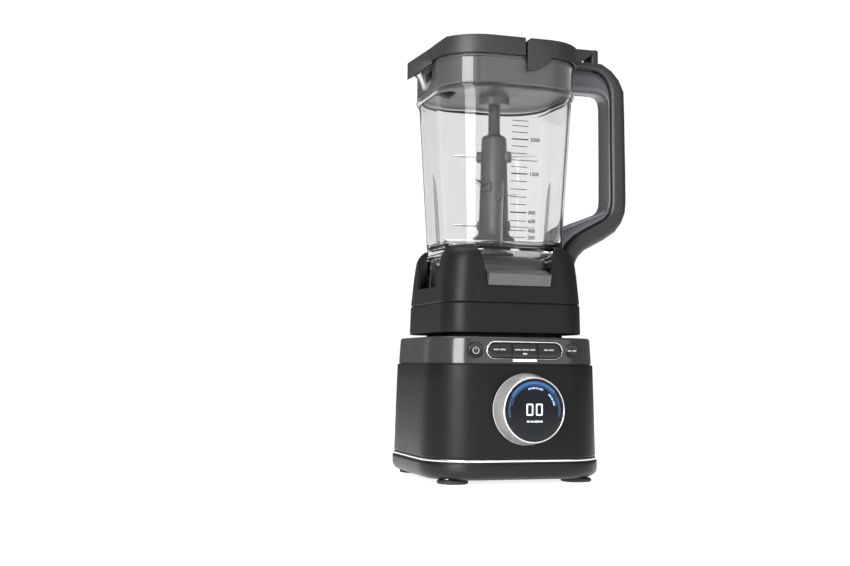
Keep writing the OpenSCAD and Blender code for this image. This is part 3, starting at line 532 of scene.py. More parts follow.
class Kit:
    """Every finish that the blender wears, each built once."""

    casing = Moulded("satin_black_casing", (0.0065, 0.0065, 0.0072), rough=0.38, grain=0.2, specular=0.17)
    tray = Moulded("satin_black_tray", (0.0085, 0.0085, 0.0092), rough=0.36, grain=0.16, specular=0.24)
    band = Moulded("gloss_grey_band", (0.028, 0.028, 0.03), rough=0.18, grain=0.03, coat=0.35)
    keys = Moulded("gloss_black_key", (0.009, 0.009, 0.01), rough=0.24, grain=0.04, coat=0.2, specular=0.3)
    collar = Moulded("charcoal_collar", (0.009, 0.009, 0.0098), rough=0.38, grain=0.18, specular=0.17)
    # The ledge's light grey tone is painted reflection of light on its glossy, upward-sloping face.
    ledge = Moulded("ledge_painted_reflection", (0.07, 0.07, 0.073), rough=0.3, grain=0.08)
    hub = Moulded("dark_hub", (0.01, 0.01, 0.011), rough=0.3, grain=0.02)
    lid = Moulded("charcoal_lid", (0.024, 0.024, 0.0248), rough=0.42, grain=0.2, specular=0.4)
    plug = Moulded("grey_plug", (0.068, 0.066, 0.068), rough=0.34, grain=0.08)
    grip = Moulded("dark_grip", (0.024, 0.024, 0.0255), rough=0.36, grain=0.16, specular=0.4)
    inlay = Moulded("soft_grey_inlay", (0.06, 0.06, 0.07), rough=0.22, grain=0.05, coat=0.3)
    column = Moulded("grey_column", (0.054, 0.05, 0.051), rough=0.36, grain=0.03, specular=0.35)
    inner = Moulded("inner_grey", (0.16, 0.16, 0.165), rough=0.5)
    fan = Moulded("fan_white", (0.6, 0.6, 0.58), rough=0.45)
    holder = Moulded("phenolic_brown", (0.14, 0.065, 0.03), rough=0.5)
    carbon = Moulded("carbon_brush", (0.03, 0.03, 0.032), rough=0.7, grain=0.4)
    plunger = Moulded("red_plunger", (0.45, 0.03, 0.02), rough=0.35)
    print_grey = Moulded("grey_print", (0.025, 0.025, 0.028), rough=0.6, grain=0.02)
    mark = Moulded("pale_print", (0.34, 0.345, 0.36), rough=0.5, grain=0.02)
    rubber = Rubber("black_rubber")
    chrome = Metal("bright_trim", (0.86, 0.87, 0.88), rough=0.16, lay=Lay.ACROSS_X, lines=0.12)
    steel = Metal("zinc_steel", (0.6, 0.6, 0.61), rough=0.34)
    blade = Metal("honed_steel", (0.5, 0.5, 0.51), rough=0.3, lay=Lay.ACROSS_X, lines=0.2)
    cast = Metal("cast_metal", (0.58, 0.59, 0.6), rough=0.5)
    dial = Spun("spun_dial", (0.8, 0.79, 0.785), centre_z=DIAL_Z * MM, rough=0.3, metallic=0.72)
    iron = Banded("laminated_iron", (0.42, 0.43, 0.44), (0.16, 0.16, 0.17), 0.0007)
    copper = Banded("copper_turns", (0.72, 0.3, 0.12), (0.35, 0.12, 0.04), 0.0009, "X", 1.0, 0.32)
    segments = Banded("copper_segments", (0.75, 0.4, 0.2), (0.2, 0.1, 0.05), 0.003, "X", 1.0, 0.3)
    board = Board("green_board")
    glass = Moulded("black_cover", (0.005, 0.006, 0.009), rough=0.16, grain=0.01, specular=0.22)
    jug = Clear("smoky_clear")
    rib = Clear("smoky_rib", (0.5, 0.49, 0.495), 0.06)
    light = Lit("white_light", (1.0, 1.0, 1.0), 1.6)
    digits = Lit("white_digits", (0.62, 0.68, 0.82), 0.6)
    arc = Lit("blue_arc", (0.011, 0.085, 0.22), 0.35)
    arc_dim = Lit("blue_arc_dim", (0.006, 0.032, 0.08), 0.35)
    dash = Lit("dash_light", (0.26, 0.38, 0.68), 0.45)
    lamp = Lit("dim_lamp", (0.4, 0.42, 0.48), 0.5)

    _built: dict[str, bpy.types.Material] = {}

    @classmethod
    def get(cls, finish: object) -> bpy.types.Material:
        """The finish's material, built the first time.

        Args:
            finish: one of the finishes.

        Returns:
            Its material.
        """
        if finish.name not in cls._built:
            cls._built[finish.name] = finish.material()
        return cls._built[finish.name]


# ----------------------------------------------------------------- mesh tools


def rounded(hx: float, hy: float, corner: float, z: float, arc: int = 9, side: int = 6) -> list[Vector]:
    """Points round a rectangle with round corners, in millimetres.

    Args:
        hx: half size along X.
        hy: half size along Y.
        corner: radius of the corners.
        z: height.
        arc: steps in each corner.
        side: steps in each side.

    Returns:
        The points, anticlockwise from the right side's foot.
    """
    corner = min(corner, hx, hy)
    ends = []
    for turn, (sx, sy) in enumerate(((1, 1), (-1, 1), (-1, -1), (1, -1))):
        cx, cy = sx * (hx - corner), sy * (hy - corner)
        for k in range(arc + 1):
            a = math.pi / 2 * (turn + k / arc)
            ends.append(Vector((cx + corner * math.cos(a), cy + corner * math.sin(a), z)))
    points = []
    size = len(ends)
    for i, here in enumerate(ends):
        points.append(here)
        if i % (arc + 1) == arc and side > 1:
            there = ends[(i + 1) % size]
            points += [here.lerp(there, k / side) for k in range(1, side)]
    return points


def circle(radius: float, z: float, count: int = 72) -> list[Vector]:
    """Points round a circle, in millimetres.

    Args:
        radius: its radius.
        z: its height.
        count: how many points.

    Returns:
        The points, anticlockwise.
    """
    return [
        Vector((radius * math.cos(math.tau * i / count), radius * math.sin(math.tau * i / count), z))
        for i in range(count)
    ]


def turned_path(path: Iterable[tuple[float, float]], count: int = 72) -> list[list[Vector]]:
    """Circles for a turned shape, from (radius, height) pairs."""
    return [circle(r, z, count) for r, z in path]


class Bench:
    """The modelling operators that shape every piece."""

    @staticmethod
    def quiet() -> None:
        """Deselect everything."""
        if bpy.context.mode != "OBJECT":
            bpy.ops.object.mode_set(mode="OBJECT")
        for obj in list(bpy.context.selected_objects):
            obj.select_set(False)

    @classmethod
    def only(cls, obj: bpy.types.Object) -> None:
        """Select one object and make it active.

        Args:
            obj: the object.
        """
        cls.quiet()
        obj.select_set(True)
        bpy.context.view_layer.objects.active = obj

    @staticmethod
    def _settle(obj: bpy.types.Object, last: Sequence[Vector] | None, new: Sequence[Vector]) -> None:
        """Move the selected ring of vertices to its section.

        Args:
            obj: the piece in edit mode.
            last: the section that the ring was extruded from, or nothing for the first.
            new: the section that it moves to.
        """
        mesh = bmesh.from_edit_mesh(obj.data)
        chosen = [v for v in mesh.verts if v.select]
        if last is None:
            for v in chosen:
                v.co = new[v.index] * MM
        else:
            tree = kdtree.KDTree(len(last))
            for i, p in enumerate(last):
                tree.insert(p * MM, i)
            tree.balance()
            for v in chosen:
                v.co = new[tree.find(v.co)[1]] * MM
        bmesh.update_edit_mesh(obj.data)

    @classmethod
    def loft(
        cls,
        name: str,
        sections: Sequence[Sequence[Vector]],
        ring: bool = False,
        angle: float = SMOOTH_ANGLE,
    ) -> bpy.types.Object:
        """A skin over sections, extruded from one to the next.

        Args:
            name: name of the piece.
            sections: rings of points in millimetres, equally many in each.
            ring: the last section joins the first, and no end is filled.
            angle: edges sharper than this stay sharp, in degrees.

        Returns:
            The new object.
        """
        cls.quiet()
        bpy.ops.mesh.primitive_circle_add(
            vertices=len(sections[0]),
            radius=MM,
            fill_type="NOTHING" if ring else "NGON",
            enter_editmode=True,
        )
        obj = bpy.context.object
        obj.name = obj.data.name = name
        cls._settle(obj, None, sections[0])
        for last, new in zip(sections, sections[1:]):
            bpy.ops.mesh.extrude_region()
            cls._settle(obj, last, new)
        bpy.ops.mesh.select_all(action="SELECT")
        bpy.ops.mesh.remove_doubles(threshold=MERGE)
        bpy.ops.mesh.normals_make_consistent(inside=False)
        bpy.ops.object.mode_set(mode="OBJECT")
        obj.matrix_world = Matrix.Identity(4)
        cls.smooth(obj, angle)
        return obj

    @classmethod
    def smooth(cls, obj: bpy.types.Object, angle: float = SMOOTH_ANGLE) -> None:
        """Shade smooth up to an angle."""
        cls.only(obj)
        bpy.ops.object.shade_smooth_by_angle(angle=math.radians(angle))

    @classmethod
    def place(cls, obj: bpy.types.Object, turn: Point = (0, 0, 0), at: Point = (0, 0, 0)) -> None:
        """Turn an object by degrees, move it by millimetres and bake that into its mesh.

        Args:
            obj: the piece.
            turn: degrees about each axis.
            at: the move in millimetres.
        """
        cls.only(obj)
        obj.rotation_euler = [math.radians(a) for a in turn]
        obj.location = [v * MM for v in at]
        bpy.ops.object.transform_apply(location=True, rotation=True, scale=True)

    @classmethod
    def soften(
        cls, obj: bpy.types.Object, width: float, segments: int = 3, angle: float = SMOOTH_ANGLE
    ) -> bpy.types.Object:
        """Round the sharp edges.

        Args:
            obj: the piece.
            width: width of the rounding in millimetres.
            segments: steps of the rounding.
            angle: edges sharper than this are rounded, in degrees.

        Returns:
            The same object.
        """
        cls.only(obj)
        rounding = obj.modifiers.new("rounding", "BEVEL")
        rounding.width = width * MM
        rounding.segments = segments
        rounding.limit_method = "ANGLE"
        rounding.angle_limit = math.radians(angle)
        rounding.harden_normals = False
        bpy.ops.object.modifier_apply(modifier=rounding.name)
        cls.smooth(obj, 40.0)
        return obj

    @classmethod
    def cut(cls, obj: bpy.types.Object, *tools: bpy.types.Object) -> bpy.types.Object:
        """Cut the tools out of an object and throw them away.

        Args:
            obj: the piece.
            tools: the shapes to cut out.

        Returns:
            The same object.
        """
        for tool in tools:
            cls.only(obj)
            cutter = obj.modifiers.new("cutter", "BOOLEAN")
            cutter.operation = "DIFFERENCE"
            cutter.solver = "EXACT"
            cutter.object = tool
            bpy.ops.object.modifier_apply(modifier=cutter.name)
            bpy.data.objects.remove(tool)
        cls.smooth(obj)
        return obj

    @classmethod
    def join(cls, obj: bpy.types.Object, *others: bpy.types.Object) -> bpy.types.Object:
        """Join objects into the first.

        Args:
            obj: the piece that stays.
            others: the ones that join it.

        Returns:
            The first object.
        """
        cls.only(obj)
        for other in others:
            other.select_set(True)
        bpy.ops.object.join()
        return obj

    @classmethod
    def copy(
        cls, obj: bpy.types.Object, turn: Point = (0, 0, 0), at: Point = (0, 0, 0)
    ) -> bpy.types.Object:
        """A copy with its own mesh, turned and moved.

        Args:
            obj: the piece to copy.
            turn: degrees about each axis.
            at: the move in millimetres.

        Returns:
            The copy.
        """
        made = obj.copy()
        made.data = obj.data.copy()
        bpy.context.scene.collection.objects.link(made)
        cls.place(made, turn, at)
        return made

    @classmethod
    def softened_copy(cls, node: str, name: str, width: float, segments: int = 2) -> bpy.types.Object:
        """A merged copy of a CAD node with its edges rounded.

        Args:
            node: the CAD node.
            name: name of the new piece.
            width: width of the rounding in millimetres.
            segments: steps of the rounding.

        Returns:
            The new object.
        """
        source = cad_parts[node]
        mesh = source.data.copy()
        mesh.materials.clear()
        made = bpy.data.objects.new(name, mesh)
        bpy.context.scene.collection.objects.link(made)
        cls.only(made)
        bpy.ops.object.mode_set(mode="EDIT")
        bpy.ops.mesh.select_all(action="SELECT")
        bpy.ops.mesh.remove_doubles(threshold=MERGE)
        bpy.ops.mesh.customdata_custom_splitnormals_clear()
        bpy.ops.mesh.dissolve_limited(angle_limit=math.radians(1.0))
        bpy.ops.object.mode_set(mode="OBJECT")
        return cls.soften(made, width, segments, 30.0)

    @classmethod
    def box(
        cls, name: str, low: Point, high: Point, round_by: float = 0.0, segments: int = 2
    ) -> bpy.types.Object:
        """A block between two corners, with rounded edges.

        Args:
            name: name of the piece.
            low: lowest corner in millimetres.
            high: highest corner.
            round_by: width of the rounding.
            segments: steps of the rounding.

        Returns:
            The block.
        """
        cls.quiet()
        middle = [(a + b) / 2 * MM for a, b in zip(low, high)]
        bpy.ops.mesh.primitive_cube_add(size=1, location=middle)
        obj = bpy.context.object
        obj.name = obj.data.name = name
        obj.scale = [(b - a) * MM for a, b in zip(low, high)]
        bpy.ops.object.transform_apply(location=True, rotation=True, scale=True)
        if round_by:
            cls.soften(obj, round_by, segments)
        return obj


@dataclass
class SubAssembly:
    """What every sub-assembly shares: making its pieces ride and wear a finish."""

    made: list[bpy.types.Object] = field(default_factory=list)

    def add(
        self,
        obj: bpy.types.Object,
        body: str,
        finish: object,
        slot: str,
        *nodes: str,
    ) -> bpy.types.Object:
        """Dress a piece and let it ride.

        Args:
            obj: the finished piece.
            body: the body that it rides on.
            finish: its finish.
            slot: the record's material slot; not used.
            nodes: CAD nodes that it stands for.

        Returns:
            The same object.
        """
        obj.data.materials.clear()
        obj.data.materials.append(Kit.get(finish))
        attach(obj, body)
        if nodes:
            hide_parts(*nodes)
        self.made.append(obj)
        return obj

    def dress(self, finish: object, *nodes: str) -> None:
        """Give carried-over CAD nodes a finish.

        Args:
            finish: their finish.
            nodes: their names.
        """
        for name in nodes:
            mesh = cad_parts[name].data
            mesh.materials.clear()
            mesh.materials.append(Kit.get(finish))

    def report(self) -> None:
        """Log each piece that was made."""
        for obj in self.made:
            LOG.info("%s: %d faces", obj.name, len(obj.data.polygons))


# --------------------------------------------------------------- sub-assemblies


def shrink(profile: Sequence[tuple[float, float]], half: float, corner: float) -> list[list[Vector]]:
    """Square sections from (height, offset) pairs.

    Args:
        profile: height and how far the side stands out from the half width, in millimetres.
        half: half width.
        corner: radius of the corners.

    Returns:
        The sections.
    """
    return [rounded(half + off, half + off, corner + off, z) for z, off in profile]


@dataclass
class BaseShell(SubAssembly):
    """Feet, tray, trim ring, housing, band and deck."""

    half: float = 87.6
    corner: float = 47.0
    foot_at: float = 62.0
    band_half: float = 83.3
    band_corner: float = 42.7
    cut_y: float = -81.0
    z_tray: float = 4.2
    z_trim: float = 20.4
    z_house: float = 23.1
    z_band: float = 110.3
    z_deck: float = 135.6

    def build(self) -> None:
        """Build every piece of the shell."""
        self.feet()
        self.tray()
        self.trim()
        self.housing()
        self.band()
        self.deck()
        self.dress(Kit.steel, "base_screws", "deck_screws")
        self.dress(Kit.rubber, "cord_gland")

    def feet(self) -> None:
        """Four suction cups."""
        path = [(4, 2.6), (8, 1.6), (11.5, 0.6), (13.2, 0), (14, 0.25), (14.5, 1.2), (14.5, 2.4), (14, 3.2)]
        path += [(12, 3.9), (9, 4.4), (8.4, 5), (8.4, 6.8), (8, 7.2)]
        cup = Bench.loft("suction_cups", turned_path(path, 48))
        corners = ((-1, 1), (-1, -1), (1, -1))
        others = [Bench.copy(cup, at=(x * self.foot_at, y * self.foot_at, 0)) for x, y in corners]
        Bench.place(cup, at=(self.foot_at, self.foot_at, 0))
        Bench.join(cup, *others)
        self.add(cup, "base", Kit.rubber, "rubber_black", "suction_feet")

    def tray(self) -> None:
        """Tray with a rolled foot, a groove and air slots underneath."""
        z = self.z_tray
        profile = [(z, -8), (z + 0.5, -6.4), (z + 1.6, -4.2), (z + 3.2, -2.1), (z + 5, -0.8), (z + 7, -0.1)]
        profile += [(z + 8.4, 0), (z + 13.6, 0), (z + 15, -0.25), (z + 15.8, -0.8), (z + 16.2, -1.8)]
        profile += [(z + 16.2, -6), (z + 18.8, -6.2)]
        tray = Bench.loft("tray_shell", shrink(profile, self.half + 1.6, self.corner + 1.6))
        slots = [Bench.box("slot", (x, -34, 0), (x + 3.4, 34, 12)) for x in range(-33, 34, 10)]
        Bench.cut(tray, *slots)
        self.add(tray, "base", Kit.tray, "casing_black", "base_tray")

    def trim(self) -> None:
        """Bright ring with rolled edges."""
        z, top = self.z_trim, self.z_house
        profile = [(z, -2.4), (z, -0.9), (z + 0.25, -0.3), (z + 0.7, 0), (top - 0.7, 0), (top - 0.25, -0.3)]
        profile += [(top, -0.9), (top, -2.4), (z, -2.4)]
        ring = Bench.loft("bright_trim", shrink(profile, self.half + 0.4, self.corner + 0.4), ring=True)
        self.add(ring, "base", Kit.chrome, "trim_bright", "trim_ring")

    def _shell(
        self, name: str, profile: list[tuple[float, float]], half: float, corner: float
    ) -> bpy.types.Object:
        """A wall that follows a profile.

        Args:
            name: name of the piece.
            profile: height and offset from the half width, in millimetres.
            half: half width.
            corner: radius of the corners.

        Returns:
            The wall.
        """
        inside = [(z, off - WALL) for z, off in reversed(profile)]
        return Bench.loft(name, shrink(profile + inside + profile[:1], half, corner), ring=True)

    def housing(self) -> None:
        """Motor housing with a shadow line at its foot and a rolled top edge."""
        low, top = self.z_house, self.z_band
        profile = [(low, -1.4), (low + 1.0, -1.3), (low + 1.15, -0.35), (low + 1.7, -0.05)]
        steps = 6
        profile += [
            (low + 2.2 + k * (top - low - 4) / steps, -0.05 - 2.7 * k / steps) for k in range(steps + 1)
        ]
        profile += [(top - 0.9, -3.0), (top - 0.3, -3.5), (top, -4.3)]
        shell = self._shell("housing_shell", profile, self.half, self.corner)
        neck = Bench.loft("neck", turned_path([(23.4, -20), (23.4, 20)]))
        Bench.place(neck, (90, 0, 0), (0, -self.half, DIAL_Z))
        inlet = Bench.loft("inlet", turned_path([(9, -10), (9, 10)], 40))
        Bench.place(inlet, (90, 0, 0), (0, self.half, self.z_house + 12))
        Bench.cut(shell, neck, inlet)
        self.add(shell, "base", Kit.casing, "casing_black", "motor_housing")

    def band(self) -> None:
        """Glossy control band with holes for its keys."""
        low, top = self.z_band, self.z_deck
        profile = [(low, -1.2), (low + 0.5, -1.1), (low + 0.55, -0.2), (low + 0.8, 0.0)]
        profile += [(low + 8, -0.35), (low + 16, -0.9), (top - 2.4, -1.35), (top - 1.2, -1.7)]
        profile += [(top - 0.4, -2.4), (top, -3.6)]
        shell = self._shell("control_band_shell", profile, self.band_half, self.band_corner)
        pill = Bench.loft("pill", [rounded(38.2, 8.5, 8.5, z, 10, 2) for z in (-8, 8)])
        Bench.place(pill, (90, 0, 0), (PANEL_X, self.cut_y, KEY_Z))
        holes = [pill]
        for x, r in ((POWER_X, 7.5), (PULSE_X, 7.0)):
            hole = Bench.loft("hole", turned_path([(r, -8), (r, 8)], 48))
            Bench.place(hole, (90, 0, 0), (x, self.cut_y, KEY_Z))
            holes.append(hole)
        holes.append(Bench.box("hole", (-10.9, -90, 112.8), (12.9, -70, 114.6)))
        Bench.cut(shell, *holes)
        Bench.soften(shell, 0.3, 2, 50)
        self.add(shell, "base", Kit.band, "band_grey", "control_band")

    def deck(self) -> None:
        """Deck that closes the band, with the jug's raised seat."""
        z = self.z_deck
        profile = [(z - 3, -5.2), (z, -3.7), (z, -25.5), (z + 0.6, -25.9), (z + 2.6, -26.3)]
        profile += [(z + 3.2, -26.8), (z + 3.4, -27.6), (z + 3.4, -38)]
        sections = [
            rounded(self.band_half + off, self.band_half + off, max(self.band_corner + off, 22), z)
            for z, off in profile
        ]
        deck = Bench.loft("deck_plate", sections)
        socket = Bench.loft("hole", turned_path([(15.6, z - 20), (15.6, z + 20)]))
        plunger = Bench.loft("hole", turned_path([(3.4, z - 20), (3.4, z + 20)], 32))
        Bench.place(plunger, at=(0, 46, 0))
        Bench.cut(deck, socket, plunger)
        self.add(deck, "base", Kit.band, "band_grey", "jug_seat")


@dataclass
class Controls(SubAssembly):
    """Bezel, keys, captions and the light bar on the band's front."""

    face_y: float = -83.1

    def build(self) -> None:
        """Build every key and mark."""
        self.bezel()
        self.mode_keys()
        self.round_keys()
        self.light()
        self.dress(Kit.board, "control_board")

    def _stand(self, obj: bpy.types.Object, x: float, z: float, y: float | None = None) -> bpy.types.Object:
        """Turn a shape drawn flat to face the front, at a place on the band.

        Args:
            obj: the shape.
            x: place across the band, in millimetres.
            z: height.
            y: how far forward, or nothing for the band's face.

        Returns:
            The same object.
        """
        Bench.place(obj, (90, 0, 0), (x, self.face_y if y is None else y, z))
        return obj

    def bezel(self) -> None:
        """Bright rim round the three-key panel."""
        path = [(0, -5.8), (0, -0.5), (-0.2, -0.1), (-0.55, 0.1), (-0.95, -0.1), (-1.15, -0.5)]
        path += [(-1.3, -1.2), (-1.3, -5.8), (0, -5.8)]
        rim = [rounded(38 + o, 8.4 + o, 8.4 + o, z, 14, 3) for o, z in path]
        bezel = self._stand(Bench.loft("bright_bezel", rim, ring=True), PANEL_X, KEY_Z)
        self.add(bezel, "base", Kit.chrome, "trim_bright", "button_bezel")

    def _key_face(self, name: str, low: float, high: float) -> bpy.types.Object:
        """Part of the pill between two cuts, with a softly domed face.

        Args:
            name: name of the key.
            low: its left end, in millimetres.
            high: its right end.

        Returns:
            The key.
        """
        path = [(0, -5.8), (0, -0.9), (-0.25, -0.35), (-0.8, -0.05), (-2.6, 0.12), (-5, 0.2)]
        key = Bench.loft(name, [rounded(36.4 + o, 6.8 + o, 6.8 + o, z, 12, 8) for o, z in path])
        Bench.only(key)
        bpy.ops.object.mode_set(mode="EDIT")
        for edge, side in ((low, -1), (high, 1)):
            bpy.ops.mesh.select_all(action="SELECT")
            bpy.ops.mesh.bisect(
                plane_co=(edge * MM, 0, 0), plane_no=(side, 0, 0), use_fill=True, clear_outer=True
            )
        bpy.ops.object.mode_set(mode="OBJECT")
        Bench.soften(key, 0.22, 2, 50)
        return self._stand(key, PANEL_X, KEY_Z)

    def _bar(self, name: str, x: float, z: float, width: float, height: float) -> bpy.types.Object:
        """A small printed bar with round ends.

        Args:
            name: name of the piece.
            x: place across the band, in millimetres.
            z: height.
            width: length of the bar.
            height: height of the bar.

        Returns:
            The bar.
        """
        r = height / 2
        rim = ((0, 0), (0, 0.05), (-0.08, 0.09))
        bar = Bench.loft(name, [rounded(width / 2 + o, r + o, r + o, d, 6, 1) for o, d in rim])
        return self._stand(bar, x, z, self.face_y - 0.18)

    def _words(self, name: str, x: float, z: float, widths: Sequence[float]) -> bpy.types.Object:
        """A row of short bars in the place of a caption.

        Args:
            name: name of the piece.
            x: the row's middle, in millimetres.
            z: its height.
            widths: width of each bar.

        Returns:
            The row as one object.
        """
        total = sum(widths) + 0.7 * (len(widths) - 1)
        left = x - total / 2
        bars = []
        for width in widths:
            bars.append(self._bar(name, left + width / 2, z, width, 1.25))
            left += width + 0.7
        return Bench.join(*bars) if len(bars) > 1 else bars[0]

    def mode_keys(self) -> None:
        """The three keys inside the bezel, with their captions."""
        rows = (
            ("left", -37, -13.2, (5.6, 6.0), -24.2),
            ("centre", -12.6, 12.6, (6.2, 7.4, 5.2), 1.0),
            ("right", 13.2, 37, (4.4, 5.0), 24.8),
        )
        for side, low, high, widths, x in rows:
            key = self._key_face(f"{side}_mode_key", low, high)
            self.add(key, f"{side}_key", Kit.keys, "button_black", f"{side}_mode_button")
            words = self._words(f"{side}_caption", x, KEY_Z + 0.7, widths)
            self.add(words, f"{side}_key", Kit.mark, "light_white")
        lamp = self._bar("centre_lamp", 1.0, KEY_Z - 3.0, 4.4, 1.3)
        self.add(lamp, "centre_key", Kit.lamp, "light_white")

    def round_keys(self) -> None:
        """The power and pulse keys, dished, with their marks."""
        for name, body, x, r in (
            ("power_key_cap", "power_key", POWER_X, 7.2),
            ("pulse_key_cap", "pulse_key", PULSE_X, 6.7),
        ):
            path = [(r, -5.8), (r, -0.8), (r - 0.2, -0.2), (r - 0.6, 0.1), (r - 1.1, 0.05)]
            path += [(r - 1.6, -0.35), (r - 3, -0.55), (1.5, -0.7)]
            cap = self._stand(Bench.loft(name, turned_path(path, 56)), x, KEY_Z)
            node = "power_button" if body == "power_key" else "pulse_button"
            self.add(cap, body, Kit.keys, "button_black", node)
        words = self._words("pulse_caption", PULSE_X, KEY_Z + 0.3, (4.0, 4.4))
        Bench.place(words, at=(0, 0.62, 0))
        self.add(words, "pulse_key", Kit.mark, "light_white")
        self.power_mark()

    def power_mark(self) -> None:
        """Broken ring with an upright bar."""
        steps = 26
        gap = 0.62
        arc = []
        for i in range(steps + 1):
            a = math.pi / 2 + gap + (math.tau - 2 * gap) * i / steps
            arc.append(arc_section(2.9, 0.75, a, -0.12, 0.1))
        ring = Bench.loft("power_symbol", arc)
        bar = Bench.loft("bar", [rounded(0.38, 1.7, 0.38, z, 5, 1) for z in (-0.12, 0.1)])
        Bench.place(bar, at=(0, 2.2, 0))
        Bench.join(ring, bar)
        self._stand(ring, POWER_X, KEY_Z - 0.3, self.face_y + 0.52)
        self.add(ring, "power_key", Kit.mark, "light_white")

    def light(self) -> None:
        """White light bar under the panel."""
        rim = ((0, -3.4), (0, -0.1), (-0.3, 0.1))
        bar = Bench.loft("light_guide", [rounded(11.8 + o, 0.75 + o / 3, 0.4, z, 5, 3) for o, z in rim])
        self._stand(bar, PANEL_X, 113.7)
        self.add(bar, "base", Kit.light, "light_white", "indicator_light")


def arc_section(radius: float, width: float, angle: float, low: float, high: float) -> list[Vector]:
    """Cross-section of a flat arc at an angle, drawn in the XY plane.

    Args:
        radius: radius of the arc's middle, in millimetres.
        width: width of the arc.
        angle: where the section stands, in radians.
        low: lowest height.
        high: highest height.

    Returns:
        Four points.
    """
    out = Vector((math.cos(angle), math.sin(angle), 0))
    return [
        out * (radius - width / 2) + Vector((0, 0, low)),
        out * (radius + width / 2) + Vector((0, 0, low)),
        out * (radius + width / 2) + Vector((0, 0, high)),
        out * (radius - width / 2) + Vector((0, 0, high)),
    ]


@dataclass
class Dial(SubAssembly):
    """Dial ring and the lit display behind it."""

    back: float = -87.8
    window_r: float = 28.2
    window_y: float = -108.8

    def build(self) -> None:
        """Build the ring, the window and its marks."""
        self.ring()
        self.window()
        self.marks()
        self.dress(Kit.keys, "display_can")
        self.dress(Kit.board, "display_board")
        self.dress(Kit.casing, "dial_carrier")
        self.dress(Kit.inner, "encoder_wheel")

    def _stand(self, obj: bpy.types.Object, y: float) -> bpy.types.Object:
        """Turn a shape drawn flat to face the front at the dial's centre."""
        Bench.place(obj, (90, 0, 0), (0, y, DIAL_Z))
        return obj

    def ring(self) -> None:
        """Tapered bright ring with a rolled lip and a grooved foot."""
        path = [(29.4, 0), (32.0, 0), (32.7, 0.3), (32.9, 0.9), (32.85, 1.6), (32.3, 1.8), (32.3, 2.4)]
        path += [(32.75, 2.6), (31.9, 8), (30.95, 14), (30.0, 19.8), (29.8, 20.6), (29.45, 21.1)]
        path += [(29.0, 21.3), (28.65, 21.1), (28.45, 20.6), (28.4, 19.6), (28.4, 3), (29.4, 1), (29.4, 0)]
        ring = self._stand(Bench.loft("dial_metal_ring", turned_path(path, 128), ring=True), self.back)
        self.add(ring, "dial", Kit.dial, "dial_metal", "dial_ring")

    def window(self) -> None:
        """Black cover with a low crown."""
        r = self.window_r
        path = [(r, -3.5), (r, -0.6), (r - 0.25, -0.3), (r - 1, -0.15), (r - 6, -0.06), (10, 0), (3, 0)]
        cover = self._stand(Bench.loft("display_cover", turned_path(path, 96)), self.window_y)
        self.add(cover, "base", Kit.glass, "display_glass", "display_window")

    def _arc(
        self, name: str, radius: float, width: float, start: float, end: float, steps: int
    ) -> bpy.types.Object:
        """A flat arc between two angles.

        Args:
            name: name of the piece.
            radius: radius of its middle, in millimetres.
            width: its width.
            start: angle of its start, in degrees.
            end: angle of its end.
            steps: how many straight steps it has.

        Returns:
            The arc.
        """
        rings = [
            arc_section(radius, width, math.radians(start + (end - start) * i / steps), -0.02, 0.1)
            for i in range(steps + 1)
        ]
        return Bench.loft(name, rings)

    def marks(self) -> None:
        """Blue arc, pale dashes, two digits and a bar."""
        front = self.window_y - 0.02
        arc = self._arc("blue_arc_bright", 24.6, 2.6, 150, 40, 48)
        self.add(self._stand(arc, front), "base", Kit.arc, "light_white")
        dim = self._arc("blue_arc_low", 24.4, 2.2, 196, 150, 20)
        Bench.join(dim, self._arc("dim", 24.4, 2.2, 40, -14, 24), self._arc("dim", 22.3, 1.0, 170, 10, 60))
        self.add(self._stand(dim, front), "base", Kit.arc_dim, "light_white")
        dashes = []
        for start, end in ((108, 101), (99, 88), (86, 79), (77, 66), (46, 36), (34, 27), (25, 12)):
            dashes.append(self._arc("dashes", 19.8, 1.5, start, end, 8))
        Bench.join(*dashes)
        self.add(self._stand(dashes[0], front), "base", Kit.dash, "light_white")
        self.digits(front)

    def digits(self, front: float) -> None:
        """Two noughts and the bar below them."""
        parts = []
        for x in (-4.6, 4.6):
            rim = ((0, -0.02), (0, 0.1), (-1.35, 0.1), (-1.35, -0.02), (0, -0.02))
            rings = [rounded(3.3 + o, 5.4 + o, 1.2 + o * 0.5, z, 5, 1) for o, z in rim]
            nought = Bench.loft("display_digits", rings, ring=True)
            Bench.place(nought, at=(x, 0.4, 0))
            parts.append(nought)
        for x, w in ((-6.1, 2.2), (-2.6, 2.0), (2.0, 4.6), (6.6, 2.0)):
            bar = Bench.loft("bar", [rounded(w / 1.6, 0.75, 0.5, z, 5, 1) for z in (-0.02, 0.1)])
            Bench.place(bar, at=(x, -10.3, 0))
            parts.append(bar)
        Bench.join(*parts)
        self.add(self._stand(parts[0], front), "base", Kit.digits, "light_white")


